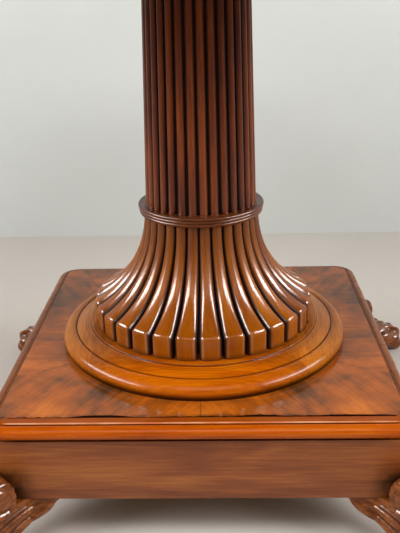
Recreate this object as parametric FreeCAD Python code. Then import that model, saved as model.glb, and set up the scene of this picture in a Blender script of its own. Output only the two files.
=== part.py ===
import FreeCAD, Part
import math
import os

# Oval pedestal table with a tilting top. Millimetres, +Z up, origin on the floor under the column.
# Front is -Y. Angles round the column are taken from the front, positive towards +X.

# Overall sizes
TABLE_HEIGHT = 735.0
TOP_LENGTH = 1200.0
TOP_WIDTH = 900.0
TOP_THICKNESS = 24.0
TOP_VENEER = 1.2
TOP_VENEER_MARGIN = 0.5
TOP_UPPER_ROUND = 4.0
TOP_LOWER_ROUND = 13.0

# Square platform
PLATFORM_TOP = 172.0
LIP_HALF = 230.0
CORNER_RADIUS = 20.0
FRONT_BORDER = 10.5
SIDE_BORDER = 2.6
MOULDING_WIDTH = 19.0
MOULDING_DEPTH = 23.7
BEAD_SWELL = 11.5
BEAD_TOP = 2.6
BEAD_BOTTOM = 16.8
BEAD_FOOT = 1.0
ARRIS = 2.0
PLATFORM_VENEER = 1.5
FRIEZE_OVERHANG = 0.5
FRIEZE_CORNER_RADIUS = 8.0
FRIEZE_THICKNESS = 22.0
FRIEZE_DEPTH = 76.8
GLUE_GAP = 0.3
CORNER_BLOCK_SIDE = 70.0
GLUE_BLOCK_SIDE = 26.0
GLUE_BLOCK_LENGTH = 44.0
GLUE_BLOCK_OFFSET = 90.0
RAIL_HEIGHT = 40.0
RAIL_HALF_WIDTH = 30.0

# Turned plinth
PLINTH_RADIUS = 189.5
PLINTH_HEIGHT = 27.5
PLINTH_GROOVE_RADIUS = 171.2
PLINTH_FILLET_RADIUS = 151.0
PLINTH_JOINT_ANGLE = 42.0
SHOULDER_HEIGHT = 20.0
BULLNOSE_UNDERCUT = 2.5
BULLNOSE_SETBACK = 1.8
BULLNOSE_MIDDLE = 12.0
GROOVE_HALF_WIDTH = 1.0
GROOVE_DEPTH = 1.6
GROOVE_STEP = 0.3
FILLET_HALF_WIDTH = 1.0
FILLET_HEIGHT = 2.2
FILLET_SWELL = 0.6

# Ribbed flare
RIBS = 30
RIB_PHASE = 5.35
RIB_END_RADIUS = 140.5
RIB_END_HEIGHT = 31.0
FLARE_HEIGHT = 144.0
FLARE_NECK_RADIUS = 73.5
RIB_SLOT_NECK = 3.4
RIB_SLOT_END = 4.4
RIB_ARRIS = 2.0
RIB_WAIST_RADIUS = 95.0
RIB_WAIST_HEIGHT = 71.0
RIB_NECK_DEPTH = 6.0
CORE_WAIST_RADIUS = 82.0
CORE_WAIST_HEIGHT = 66.5
CORE_FOOT_SETBACK = 20.0
CORE_FOOT_SLOPE = 4.0
CORE_FOOT_HEIGHT = 9.0
SOCKET_FLOOR = 14.0

# Reeded column
REEDS = 32
REED_PHASE = 4.1
REED_SHARE = 0.78
REED_DEPTH_SHARE = 0.074
SHAFT_LOWER_RADIUS = 70.7
SHAFT_UPPER_RADIUS = 63.0
COLLAR_HEIGHT = 12.0
COLLAR_RADIUS = 80.5
COLLAR_BEADS = 3
COLLAR_GROOVE_DEPTH = 3.2
COLLAR_STEP = 0.8
CAPITAL_HEIGHT = 20.7
CAPITAL_LEDGE = 1.5
CAPITAL_BEAD_HEIGHT = 8.0
CAPITAL_BEAD_SWELL = 4.5
CAPITAL_SPREAD = 16.0
CAPITAL_RIM = 3.0
TENON_RADIUS = 28.0
FLARE_TENON_RADIUS = 40.0
TENON_CLEARANCE = 0.25
END_GAP = 1.0

# Tie rod
ROD_RADIUS = 6.0
ROD_CLEARANCE = 0.5
NUT_SIDE = 22.0
NUT_HEIGHT = 10.0
WASHER_RADIUS = 18.0
WASHER_HEIGHT = 3.0
WASHER_ROOM = 3.0
ROD_LOWER_STAND = 5.0
ROD_UPPER_STAND = 1.0

# Feet, measured along the platform's diagonal
FOOT_BACK = 240.0
FOOT_TIP = 466.0
HEEL = 352.0
LEG_HALF_WIDTH = 22.0
PAW_HALF_WIDTH = 44.0
INSTEP_HEIGHT = 42.0
INSTEP_ROUND = 6.0
INSTEP_SETBACK = 62.0
KNUCKLE_SETBACK = 34.0
BALL_HEIGHT = 18.0
BALL_SETBACK = 18.0
SOLE_SETBACK = 14.0
HEEL_HEIGHT = 8.0
HEEL_ROUND = 6.0
LEG_DEPTH = 22.0
BELLY_REACH = 76.0
THROAT_REACH = 36.0
THROAT_RISE = 8.0
NECK_DROP = 16.0
HEAD_LEDGE = 4.0
WAIST_REACH = 34.0
ANKLE_REACH = 24.0
ANKLE_SWELL = 5.0
PAW_SETBACK = 40.0
PAW_ROUND_REACH = 18.0
PAW_ROUND_DRAW = 3.0
PAW_TIP_SETBACK = 8.0
SCROLL_BACK = 323.0
SCROLL_REACH = 342.0
SCROLL_HEIGHT = 93.0
SCROLL_RADIUS = 20.0
SCROLL_HALF_WIDTH = 34.0
SCROLL_EYE_RADIUS = 8.0
SCROLL_EYE_STAND = 2.5
TOES = 4
TOE_PITCH = 25.0
TOE_RADIUS = 13.0
TOE_LENGTH = 32.0
TOE_DROOP = 30.0
TOE_SPLAY = 9.0
TOE_SETBACK = 30.0
TOE_TAPER = 1.0
TOE_SINK = 1.5
WING_START = 165.0
WING_DROP = 31.0
WING_BEND = 27.0
WING_CURL_SHARE = 0.4
WING_CURL_DROP_SHARE = 0.58
WING_BEND_DROP_SHARE = 0.94
WING_THICKNESS = 24.0
WING_SETBACK = 1.6
DOWEL_RADIUS = 7.0
DOWEL_LENGTH = 60.0
DOWEL_SETBACK = 28.0

# Tilting head
BLOCK_HALF_WIDTH = 130.0
BLOCK_THICKNESS = 40.0
BLOCK_FRONT = -130.0
PIVOT_Y = 95.0
PIVOT_RADIUS = 6.0
PIVOT_CLEARANCE = 0.06
PIN_DEPTH = 45.0
TOP_GAP = 0.3
BEARER_GAP = 1.0
BEARER_WIDTH = 35.0
BEARER_DEPTH = 48.0
BEARER_HALF_LENGTH = 340.0
BEARER_TAPER = 60.0
BEARER_NOSE_DEPTH = 16.8
BEARER_SWEEP = 6.0
BEARER_SWEEP_REACH = 24.0
BEARER_SCREW_PLACES = (-270.0, -90.0, 160.0, 270.0)

# Brass bolt under the top
PACKER_THICKNESS = 8.0
PACKER_HALF_WIDTH = 25.0
PACKER_MARGIN = 3.0
CATCH_FRONT = -214.0
CATCH_LENGTH = 72.0
CATCH_HALF_WIDTH = 20.0
CATCH_SCREW_SIDE = 5.0
CATCH_SCREW_END = 6.0
PLATE_THICKNESS = 2.5
BOLT_HALF_WIDTH = 6.0
BOLT_THICKNESS = 6.0
BOLT_TRAVEL = 12.0
BOLT_TIP_GAP = 1.5
BOLT_END_ROOM = 2.0
BOLT_TAIL = 8.0
KNOB_PLACE = 29.0
KNOB_SINK = 1.0
KNOB_ROOT_RADIUS = 3.0
KNOB_STEM_RADIUS = 2.4
KNOB_STEM_LENGTH = 4.0
KNOB_RADIUS = 5.4
KNOB_MIDDLE = 8.5
KNOB_LENGTH = 12.0
KNOB_END_RADIUS = 1.5
SLIDE_GAP = 0.3
STAPLE_WALL = 3.5
STAPLE_LENGTH = 8.0
STAPLE_FRONT = 12.0
STAPLE_BACK = 22.0
STRIKE_HALF_WIDTH = 26.0
STRIKE_HEIGHT = 20.0
STRIKE_FIT = 0.1
STRIKE_SCREW_SETBACK = 7.0
SMALL_SCREW_RADIUS = 1.5
LARGE_SCREW_RADIUS = 2.5
SCREW_HOLE_CLEARANCE = 0.15
SCREW_HEAD_SHARE = 1.9
COUNTERBORE_SHARE = 2.2
LARGE_HEAD_HEIGHT = 3.0
SMALL_HEAD_HEIGHT = 1.5
STRIKE_HEAD_HEIGHT = 1.0
LARGE_SCREW_BITE = 14.0
SMALL_SCREW_BITE = 8.0
STRIKE_SCREW_BITE = 15.0
SCREW_TIP_GAP = 0.5

# Derived levels
PLINTH_TOP = PLATFORM_TOP + PLINTH_HEIGHT
FLARE_TOP = PLINTH_TOP + FLARE_HEIGHT
COLLAR_TOP = FLARE_TOP + COLLAR_HEIGHT
TOP_UNDERSIDE = TABLE_HEIGHT - TOP_THICKNESS
BLOCK_TOP = TOP_UNDERSIDE - TOP_GAP
BLOCK_UNDERSIDE = BLOCK_TOP - BLOCK_THICKNESS
SHAFT_TOP = BLOCK_UNDERSIDE - CAPITAL_HEIGHT
PIVOT_Z = BLOCK_TOP - BLOCK_THICKNESS / 2
MOULDING_UNDERSIDE = PLATFORM_TOP - MOULDING_DEPTH
FRIEZE_UNDERSIDE = MOULDING_UNDERSIDE - FRIEZE_DEPTH
CORNER_CENTRE = LIP_HALF - CORNER_RADIUS
MOULDING_INNER = LIP_HALF - MOULDING_WIDTH
FRIEZE_FACE = LIP_HALF + FRIEZE_OVERHANG
FRIEZE_INNER = FRIEZE_FACE - FRIEZE_THICKNESS
RAIL_UNDERSIDE = MOULDING_UNDERSIDE - RAIL_HEIGHT
PLATE_TOP = TOP_UNDERSIDE - PACKER_THICKNESS
PLATE_UNDERSIDE = PLATE_TOP - PLATE_THICKNESS
BOLT_TOP = PLATE_UNDERSIDE - SLIDE_GAP
BOLT_UNDERSIDE = BOLT_TOP - BOLT_THICKNESS
BOLT_TIP = BLOCK_FRONT - BOLT_TIP_GAP
CATCH_BACK = CATCH_FRONT + CATCH_LENGTH
UPPER_WASHER = BLOCK_TOP - NUT_HEIGHT - 2 * WASHER_HEIGHT
LOWER_NUT = RAIL_UNDERSIDE - WASHER_HEIGHT - NUT_HEIGHT
DOWEL_PLACE = FOOT_BACK + DOWEL_SETBACK
SLANT = math.sqrt(0.5)

ORIGIN = FreeCAD.Vector(0, 0, 0)
UP = FreeCAD.Vector(0, 0, 1)
SIDES = {"front": -90.0, "right": 0.0, "back": 90.0, "left": 180.0}
CORNERS = {"front_right": -45.0, "back_right": 45.0, "back_left": 135.0, "front_left": 225.0}


# Drawing helpers
def outline(start, *steps):
    """Closed face in the XZ plane. A step of two numbers is a line, of four an arc through its first pair."""
    first = FreeCAD.Vector(start[0], 0, start[1])
    here = first
    edges = []
    for step in steps:
        end = FreeCAD.Vector(step[-2], 0, step[-1])
        if len(step) == 2:
            edges.append(Part.LineSegment(here, end).toShape())
        else:
            middle = FreeCAD.Vector(step[0], 0, step[1])
            edges.append(Part.Arc(here, middle, end).toShape())
        here = end
    if here != first:
        edges.append(Part.LineSegment(here, first).toShape())
    return Part.Face(Part.Wire(edges))


def turned(face, start=0.0, sweep=360.0):
    blank = face.copy()
    blank.rotate(ORIGIN, UP, start)
    return blank.revolve(ORIGIN, UP, sweep)


def drum(radius, low, high, x=0.0, y=0.0):
    return Part.makeCylinder(radius, high - low, FreeCAD.Vector(x, y, low))


def crossbar(radius, x_low, x_high, y, z):
    return Part.makeCylinder(radius, x_high - x_low, FreeCAD.Vector(x_low, y, z), FreeCAD.Vector(1, 0, 0))


def slab(x_low, x_high, y_low, y_high, z_low, z_high):
    corner = FreeCAD.Vector(x_low, y_low, z_low)
    return Part.makeBox(x_high - x_low, y_high - y_low, z_high - z_low, corner)


def placed(shape, angle, shift=ORIGIN):
    copy = shape.copy()
    copy.translate(shift)
    copy.rotate(ORIGIN, UP, angle)
    return copy


def round_point(radius, angle, z):
    """Point at an angle in radians from the front, positive towards +X."""
    return FreeCAD.Vector(radius * math.sin(angle), -radius * math.cos(angle), z)


def oval_slab(half_length, half_width, low, high):
    edge = Part.Ellipse(FreeCAD.Vector(0, 0, low), half_length, half_width).toShape()
    return Part.Face(Part.Wire([edge])).extrude(FreeCAD.Vector(0, 0, high - low))


def rounded_square(half, radius, low, high):
    block = slab(-half, half, -half, half, low, high)
    posts = [edge for edge in block.Edges if abs(edge.tangentAt(edge.FirstParameter).z) > 0.9]
    return block.makeFillet(radius, posts)


# Column
def reeded_wire(radius, z):
    pitch = 2 * math.pi / REEDS
    half = REED_SHARE * pitch / 2
    valley = radius * (1 - REED_DEPTH_SHARE)
    edges = []
    for reed in range(REEDS):
        centre = math.radians(REED_PHASE) + reed * pitch
        near = round_point(valley, centre - half, z)
        far = round_point(valley, centre + half, z)
        edges.append(Part.Arc(near, round_point(radius, centre, z), far).toShape())
        edges.append(Part.LineSegment(far, round_point(valley, centre + pitch - half, z)).toShape())
    return Part.Wire(edges)


def column_shaft():
    lower = reeded_wire(SHAFT_LOWER_RADIUS, COLLAR_TOP)
    upper = reeded_wire(SHAFT_UPPER_RADIUS, SHAFT_TOP)
    shaft = Part.makeLoft([lower, upper], True, True)
    lower_tenon = drum(TENON_RADIUS, PLINTH_TOP + SOCKET_FLOOR + END_GAP, COLLAR_TOP)
    upper_tenon = drum(TENON_RADIUS, SHAFT_TOP, BLOCK_UNDERSIDE + BLOCK_THICKNESS / 2 - TENON_CLEARANCE)
    bore = drum(ROD_RADIUS + ROD_CLEARANCE, PLATFORM_TOP, TABLE_HEIGHT)
    return shaft.fuse([lower_tenon, upper_tenon]).cut(bore)


def column_collar():
    """Three beads with grooves between them, each bead a little wider than the one below."""
    bore = TENON_RADIUS + TENON_CLEARANCE
    bead = COLLAR_HEIGHT / COLLAR_BEADS
    steps = []
    for place in range(COLLAR_BEADS):
        crown = COLLAR_RADIUS - COLLAR_STEP * (COLLAR_BEADS - 1 - place)
        groove = crown - COLLAR_GROOVE_DEPTH
        low = FLARE_TOP + place * bead
        steps += [(groove, low), (crown, low + bead / 2, groove, low + bead)]
    return turned(outline((bore, FLARE_TOP), *steps, (bore, COLLAR_TOP)))


def column_capital():
    bore = TENON_RADIUS + TENON_CLEARANCE
    neck = SHAFT_UPPER_RADIUS + CAPITAL_LEDGE
    rim = neck + CAPITAL_SPREAD
    bead_top = SHAFT_TOP + CAPITAL_BEAD_HEIGHT
    cove_top = BLOCK_UNDERSIDE - CAPITAL_RIM
    cove_middle = bead_top + SLANT * (cove_top - bead_top)
    face = outline(
        (bore, SHAFT_TOP),
        (neck, SHAFT_TOP),
        (neck + CAPITAL_BEAD_SWELL, (SHAFT_TOP + bead_top) / 2, neck, bead_top),
        (rim - SLANT * CAPITAL_SPREAD, cove_middle, rim, cove_top),
        (rim, BLOCK_UNDERSIDE),
        (bore, BLOCK_UNDERSIDE),
    )
    return turned(face)


def rib_slot(angle):
    """Tapered gap between two ribs, as a prism from the neck to beyond the rib ends."""
    inner = FLARE_NECK_RADIUS - 2 * RIB_NECK_DEPTH
    outer = RIB_END_RADIUS + 2 * RIB_SLOT_END
    spread = (RIB_SLOT_END - RIB_SLOT_NECK) / (RIB_END_RADIUS - FLARE_NECK_RADIUS)
    inner_half = (RIB_SLOT_NECK + spread * (inner - FLARE_NECK_RADIUS)) / 2
    outer_half = (RIB_SLOT_NECK + spread * (outer - FLARE_NECK_RADIUS)) / 2
    corners = [(inner, -inner_half), (outer, -outer_half), (outer, outer_half), (inner, inner_half)]
    points = [FreeCAD.Vector(x, y, PLINTH_TOP) for x, y in corners]
    face = Part.Face(Part.makePolygon(points + points[:1]))
    return placed(face.extrude(FreeCAD.Vector(0, 0, FLARE_HEIGHT)), angle)


def flared_base():
    bore = TENON_RADIUS + TENON_CLEARANCE
    arris = PLINTH_TOP + RIB_END_HEIGHT
    envelope = turned(outline(
        (bore, PLINTH_TOP),
        (RIB_END_RADIUS, PLINTH_TOP),
        (RIB_END_RADIUS, arris - RIB_ARRIS),
        (RIB_END_RADIUS - RIB_ARRIS, arris),
        (RIB_WAIST_RADIUS, PLINTH_TOP + RIB_WAIST_HEIGHT, FLARE_NECK_RADIUS, FLARE_TOP),
        (bore, FLARE_TOP),
    ))
    core_foot = RIB_END_RADIUS - CORE_FOOT_SETBACK
    core = turned(outline(
        (bore, PLINTH_TOP),
        (core_foot, PLINTH_TOP),
        (core_foot - CORE_FOOT_SLOPE, PLINTH_TOP + CORE_FOOT_HEIGHT),
        (CORE_WAIST_RADIUS, PLINTH_TOP + CORE_WAIST_HEIGHT, FLARE_NECK_RADIUS - RIB_NECK_DEPTH, FLARE_TOP),
        (bore, FLARE_TOP),
    ))
    pitch = 360.0 / RIBS
    first = SIDES["front"] + RIB_PHASE + pitch / 2
    slots = [rib_slot(first + rib * pitch) for rib in range(RIBS)]
    ribbed = envelope.cut(slots).fuse(core)
    foot_low = MOULDING_UNDERSIDE + WASHER_HEIGHT
    floor = PLINTH_TOP + SOCKET_FLOOR
    tenon = drum(FLARE_TENON_RADIUS, foot_low, PLINTH_TOP)
    bore_rod = drum(ROD_RADIUS + ROD_CLEARANCE, foot_low, floor)
    return ribbed.fuse([tenon, drum(bore, PLINTH_TOP, floor)]).cut([bore_rod, drum(bore, floor, FLARE_TOP)])


# Plinth
def plinth_segment(start):
    hole = FLARE_TENON_RADIUS + TENON_CLEARANCE
    shoulder = PLATFORM_TOP + SHOULDER_HEIGHT
    groove = PLINTH_GROOVE_RADIUS
    fillet = PLINTH_FILLET_RADIUS + FILLET_HALF_WIDTH
    nose = PLINTH_RADIUS - BULLNOSE_SETBACK
    face = outline(
        (hole, PLATFORM_TOP),
        (PLINTH_RADIUS - BULLNOSE_UNDERCUT, PLATFORM_TOP),
        (nose, PLATFORM_TOP + BULLNOSE_MIDDLE, groove + GROOVE_HALF_WIDTH, shoulder),
        (groove, shoulder - GROOVE_DEPTH),
        (groove - GROOVE_HALF_WIDTH, shoulder + GROOVE_STEP),
        (fillet, PLINTH_TOP - FILLET_HEIGHT),
        (fillet + FILLET_SWELL, PLINTH_TOP - FILLET_SWELL, fillet - 2 * FILLET_HALF_WIDTH, PLINTH_TOP),
        (hole, PLINTH_TOP),
    )
    return turned(face, start, 90.0)


# Platform
def framed_side(face, angle):
    """One mitred side of a square frame: a straight run with half of the rounded corner at each end."""
    c = CORNER_CENTRE
    run = face.copy()
    run.translate(FreeCAD.Vector(0, -c, 0))
    near_corner = run.revolve(FreeCAD.Vector(c, -c, 0), UP, -45)
    straight = run.extrude(FreeCAD.Vector(0, 2 * c, 0))
    run.translate(FreeCAD.Vector(0, 2 * c, 0))
    far_corner = run.revolve(FreeCAD.Vector(c, c, 0), UP, 45)
    side = straight.fuse([near_corner, far_corner]).removeSplitter()
    return placed(side, angle)


def edge_moulding(angle, border):
    """Flat border, a softened arris and a bead under it; the veneer lies in the rebate inside the border."""
    rebate = LIP_HALF - border
    top = PLATFORM_TOP
    soft = ARRIS * (1 - SLANT)
    bead_middle = top - (BEAD_TOP + BEAD_BOTTOM) / 2
    face = outline(
        (MOULDING_INNER, top - PLATFORM_VENEER),
        (rebate, top - PLATFORM_VENEER),
        (rebate, top),
        (LIP_HALF - ARRIS, top),
        (LIP_HALF - soft, top - soft, LIP_HALF, top - ARRIS),
        (LIP_HALF, top - BEAD_TOP),
        (LIP_HALF + BEAD_SWELL, bead_middle, LIP_HALF + BEAD_FOOT, top - BEAD_BOTTOM),
        (LIP_HALF - ARRIS, top - BEAD_BOTTOM),
        (LIP_HALF - ARRIS, MOULDING_UNDERSIDE),
        (MOULDING_INNER, MOULDING_UNDERSIDE),
    )
    return framed_side(face, angle)


def frieze_board(angle):
    """A quarter of a square ring of boards, cut out between the two mitres."""
    reach = 2 * FRIEZE_FACE
    half = FRIEZE_INNER
    outer = rounded_square(FRIEZE_FACE, FRIEZE_CORNER_RADIUS, FRIEZE_UNDERSIDE, MOULDING_UNDERSIDE)
    inner = slab(-half, half, -half, half, FRIEZE_UNDERSIDE, MOULDING_UNDERSIDE)
    corners = [(0, 0), (reach, -reach), (reach, reach), (0, 0)]
    wedge = Part.Face(Part.makePolygon([FreeCAD.Vector(x, y, FRIEZE_UNDERSIDE) for x, y in corners]))
    side = outer.cut(inner).common(wedge.extrude(FreeCAD.Vector(0, 0, FRIEZE_DEPTH)))
    return placed(side, angle)


def platform_core():
    half = MOULDING_INNER - GLUE_GAP
    board = slab(-half, half, -half, half, MOULDING_UNDERSIDE, PLATFORM_TOP - PLATFORM_VENEER)
    return board.cut(drum(FLARE_TENON_RADIUS + TENON_CLEARANCE, MOULDING_UNDERSIDE, PLATFORM_TOP))


def platform_veneer():
    """Sheet up to the arris at the sides and the back, and to the flat border along the front."""
    half = LIP_HALF - SIDE_BORDER - GLUE_GAP
    sheet = rounded_square(half, half - CORNER_CENTRE, PLATFORM_TOP - PLATFORM_VENEER, PLATFORM_TOP)
    front_border = outline(
        (LIP_HALF - FRONT_BORDER - GLUE_GAP, PLATFORM_TOP - PLATFORM_VENEER),
        (LIP_HALF + GLUE_GAP, PLATFORM_TOP - PLATFORM_VENEER),
        (LIP_HALF + GLUE_GAP, PLATFORM_TOP),
        (LIP_HALF - FRONT_BORDER - GLUE_GAP, PLATFORM_TOP),
    )
    tenon_hole = drum(FLARE_TENON_RADIUS + TENON_CLEARANCE, MOULDING_UNDERSIDE, PLATFORM_TOP)
    return sheet.cut([framed_side(front_border, SIDES["front"]), tenon_hole])


def dowel_hole(low, high):
    return drum(DOWEL_RADIUS + TENON_CLEARANCE, low, high, DOWEL_PLACE)


def corner_block(angle):
    outer = FRIEZE_INNER - GLUE_GAP
    inner = outer - CORNER_BLOCK_SIDE
    block = slab(inner, outer, inner, outer, FRIEZE_UNDERSIDE, MOULDING_UNDERSIDE)
    block = placed(block, angle - 45)
    hole = placed(dowel_hole(FRIEZE_UNDERSIDE, FRIEZE_UNDERSIDE + DOWEL_LENGTH), angle)
    return block.cut(hole)


def glue_blocks():
    face = outline(
        (FRIEZE_INNER, MOULDING_UNDERSIDE),
        (FRIEZE_INNER - GLUE_BLOCK_SIDE, MOULDING_UNDERSIDE),
        (FRIEZE_INNER, MOULDING_UNDERSIDE - GLUE_BLOCK_SIDE),
    )
    block = face.extrude(FreeCAD.Vector(0, GLUE_BLOCK_LENGTH, 0))
    middles = (-GLUE_BLOCK_OFFSET, GLUE_BLOCK_OFFSET)
    places = [FreeCAD.Vector(0, middle - GLUE_BLOCK_LENGTH / 2, 0) for middle in middles]
    return Part.makeCompound([placed(block, angle, place) for angle in SIDES.values() for place in places])


def cross_rail(along_x):
    reach = FRIEZE_INNER - GLUE_GAP
    lap = RAIL_UNDERSIDE + RAIL_HEIGHT / 2
    half = RAIL_HALF_WIDTH
    rail = slab(-reach, reach, -half, half, RAIL_UNDERSIDE, MOULDING_UNDERSIDE)
    notch = slab(-half, half, -half, half, lap, MOULDING_UNDERSIDE)
    if not along_x:
        notch = slab(-half, half, -half, half, RAIL_UNDERSIDE, lap)
    rail = rail.cut([notch, drum(ROD_RADIUS + ROD_CLEARANCE, RAIL_UNDERSIDE, MOULDING_UNDERSIDE)])
    return placed(rail, 0.0 if along_x else 90.0)


# Tie rod
def tie_rod():
    return drum(ROD_RADIUS, LOWER_NUT - ROD_LOWER_STAND, BLOCK_TOP - WASHER_HEIGHT + ROD_UPPER_STAND)


def tie_rod_washers():
    hole = ROD_RADIUS + ROD_CLEARANCE
    levels = (RAIL_UNDERSIDE - WASHER_HEIGHT, UPPER_WASHER)
    rings = [drum(WASHER_RADIUS, z, z + WASHER_HEIGHT).cut(drum(hole, z, z + WASHER_HEIGHT)) for z in levels]
    return Part.makeCompound(rings)


def tie_rod_nuts():
    half = NUT_SIDE / 2
    levels = (LOWER_NUT, UPPER_WASHER + WASHER_HEIGHT)
    nuts = []
    for z in levels:
        nut = slab(-half, half, -half, half, z, z + NUT_HEIGHT)
        nuts.append(nut.cut(drum(ROD_RADIUS + TENON_CLEARANCE, z, z + NUT_HEIGHT)))
    return Part.makeCompound(nuts)


# Feet
def toe(place):
    """One toe: a capsule that slopes down from its knuckle to a rounded tip."""
    offset = (place - (TOES - 1) / 2) * TOE_PITCH
    outwards = abs(offset) / (TOE_PITCH * (TOES - 1) / 2)
    tip = TOE_RADIUS - TOE_TAPER
    face = outline(
        (0, TOE_RADIUS),
        (TOE_LENGTH, tip),
        (TOE_LENGTH + tip * SLANT, tip * SLANT, TOE_LENGTH + tip, 0),
        (-TOE_RADIUS, 0),
        (-TOE_RADIUS * SLANT, TOE_RADIUS * SLANT, 0, TOE_RADIUS),
    )
    shape = face.revolve(ORIGIN, FreeCAD.Vector(1, 0, 0), 360)
    shape.rotate(ORIGIN, FreeCAD.Vector(0, 1, 0), TOE_DROOP)
    shape.rotate(ORIGIN, UP, TOE_SPLAY * offset / TOE_PITCH)
    reach = FOOT_TIP - tip - TOE_LENGTH * math.cos(math.radians(TOE_DROOP)) - TOE_SETBACK * outwards ** 2
    knuckle = TOE_LENGTH * math.sin(math.radians(TOE_DROOP)) + tip - TOE_SINK
    shape.translate(FreeCAD.Vector(reach, offset, knuckle))
    return shape


def leg_blank():
    """The leg and paw as sawn from the side, cut to the width that the plan gives."""
    top = FRIEZE_UNDERSIDE
    brow = INSTEP_HEIGHT - INSTEP_ROUND
    throat = (SCROLL_REACH + THROAT_REACH, INSTEP_HEIGHT + THROAT_RISE)
    side = outline(
        (FOOT_BACK, top),
        (FOOT_BACK, top - LEG_DEPTH),
        (FOOT_BACK + BELLY_REACH, brow, HEEL - HEEL_ROUND, HEEL_HEIGHT),
        (HEEL, 0),
        (FOOT_TIP - SOLE_SETBACK, 0),
        (FOOT_TIP - BALL_SETBACK, BALL_HEIGHT),
        (FOOT_TIP - KNUCKLE_SETBACK, brow, FOOT_TIP - INSTEP_SETBACK, INSTEP_HEIGHT),
        (*throat, SCROLL_REACH + NECK_DROP, SCROLL_HEIGHT - NECK_DROP),
        (SCROLL_BACK + HEAD_LEDGE, top),
    )
    side.translate(FreeCAD.Vector(0, -PAW_HALF_WIDTH, 0))
    blank = side.extrude(FreeCAD.Vector(0, 2 * PAW_HALF_WIDTH, 0))
    waist = SCROLL_REACH + WAIST_REACH
    ankle = waist + ANKLE_REACH
    ankle_half = LEG_HALF_WIDTH + ANKLE_SWELL
    ball = FOOT_TIP - PAW_SETBACK
    round_half = PAW_HALF_WIDTH - PAW_ROUND_DRAW
    plan = outline(
        (FOOT_BACK, -LEG_HALF_WIDTH),
        (waist, -LEG_HALF_WIDTH),
        (ankle, -ankle_half, ball, -PAW_HALF_WIDTH),
        (ball + PAW_ROUND_REACH, -round_half, FOOT_TIP - PAW_TIP_SETBACK, 0.0),
        (ball + PAW_ROUND_REACH, round_half, ball, PAW_HALF_WIDTH),
        (ankle, ankle_half, waist, LEG_HALF_WIDTH),
        (FOOT_BACK, LEG_HALF_WIDTH),
    )
    plan.rotate(ORIGIN, FreeCAD.Vector(1, 0, 0), -90)
    return blank.common(plan.extrude(FreeCAD.Vector(0, 0, SCROLL_HEIGHT)))


def scroll_head():
    centre = FreeCAD.Vector(SCROLL_REACH, 0, SCROLL_HEIGHT)
    across = FreeCAD.Vector(0, 1, 0)
    left_end = centre - across * SCROLL_HALF_WIDTH
    roll = Part.makeCylinder(SCROLL_RADIUS, 2 * SCROLL_HALF_WIDTH, left_end, across)
    shoulder = SCROLL_HEIGHT + SCROLL_RADIUS / 2
    back = outline(
        (SCROLL_BACK, SCROLL_HEIGHT - SCROLL_RADIUS),
        (SCROLL_REACH, SCROLL_HEIGHT - SCROLL_RADIUS),
        (SCROLL_REACH, SCROLL_HEIGHT + SCROLL_RADIUS),
        (SCROLL_BACK, shoulder),
    )
    back.translate(-across * SCROLL_HALF_WIDTH)
    reach = SCROLL_HALF_WIDTH + SCROLL_EYE_STAND
    eye = Part.makeCylinder(SCROLL_EYE_RADIUS, 2 * reach, centre - across * reach, across)
    return [roll, back.extrude(across * 2 * SCROLL_HALF_WIDTH), eye]


def foot(angle):
    shape = leg_blank().fuse(scroll_head() + [toe(place) for place in range(TOES)])
    room = 2 * PAW_HALF_WIDTH
    below_floor = slab(FOOT_BACK, FOOT_TIP + room, -room, room, -room, 0)
    hole = dowel_hole(FRIEZE_UNDERSIDE - DOWEL_LENGTH / 3, FRIEZE_UNDERSIDE)
    return placed(shape.cut([below_floor, hole]), angle)


def foot_dowels():
    low = FRIEZE_UNDERSIDE - DOWEL_LENGTH / 3 + END_GAP
    peg = drum(DOWEL_RADIUS, low, low + DOWEL_LENGTH, DOWEL_PLACE)
    return Part.makeCompound([placed(peg, angle) for angle in CORNERS.values()])


def foot_wing(angle, left):
    """Leaf bracket under the frieze, cut to meet the leg's flat side; left is as seen from outside."""
    top = FRIEZE_UNDERSIDE
    curl = (WING_START + WING_BEND * WING_CURL_SHARE, top - WING_DROP * WING_CURL_DROP_SHARE)
    face = outline(
        (WING_START, top),
        (*curl, WING_START + WING_BEND, top - WING_DROP * WING_BEND_DROP_SHARE),
        (FRIEZE_FACE, top - WING_DROP),
        (FRIEZE_FACE, top),
    )
    face.translate(FreeCAD.Vector(0, -FRIEZE_FACE + WING_SETBACK, 0))
    wing = face.extrude(FreeCAD.Vector(0, WING_THICKNESS, 0))
    leg_side = slab(0, FOOT_TIP, -LEG_HALF_WIDTH, 4 * LEG_HALF_WIDTH, 0, top)
    wing = wing.cut(placed(leg_side, CORNERS["front_right"]))
    if not left:
        diagonal = FreeCAD.Vector(1, 1, 0).normalize()
        wing = wing.mirror(ORIGIN, diagonal)
    return placed(wing, angle - CORNERS["front_right"])


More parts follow.
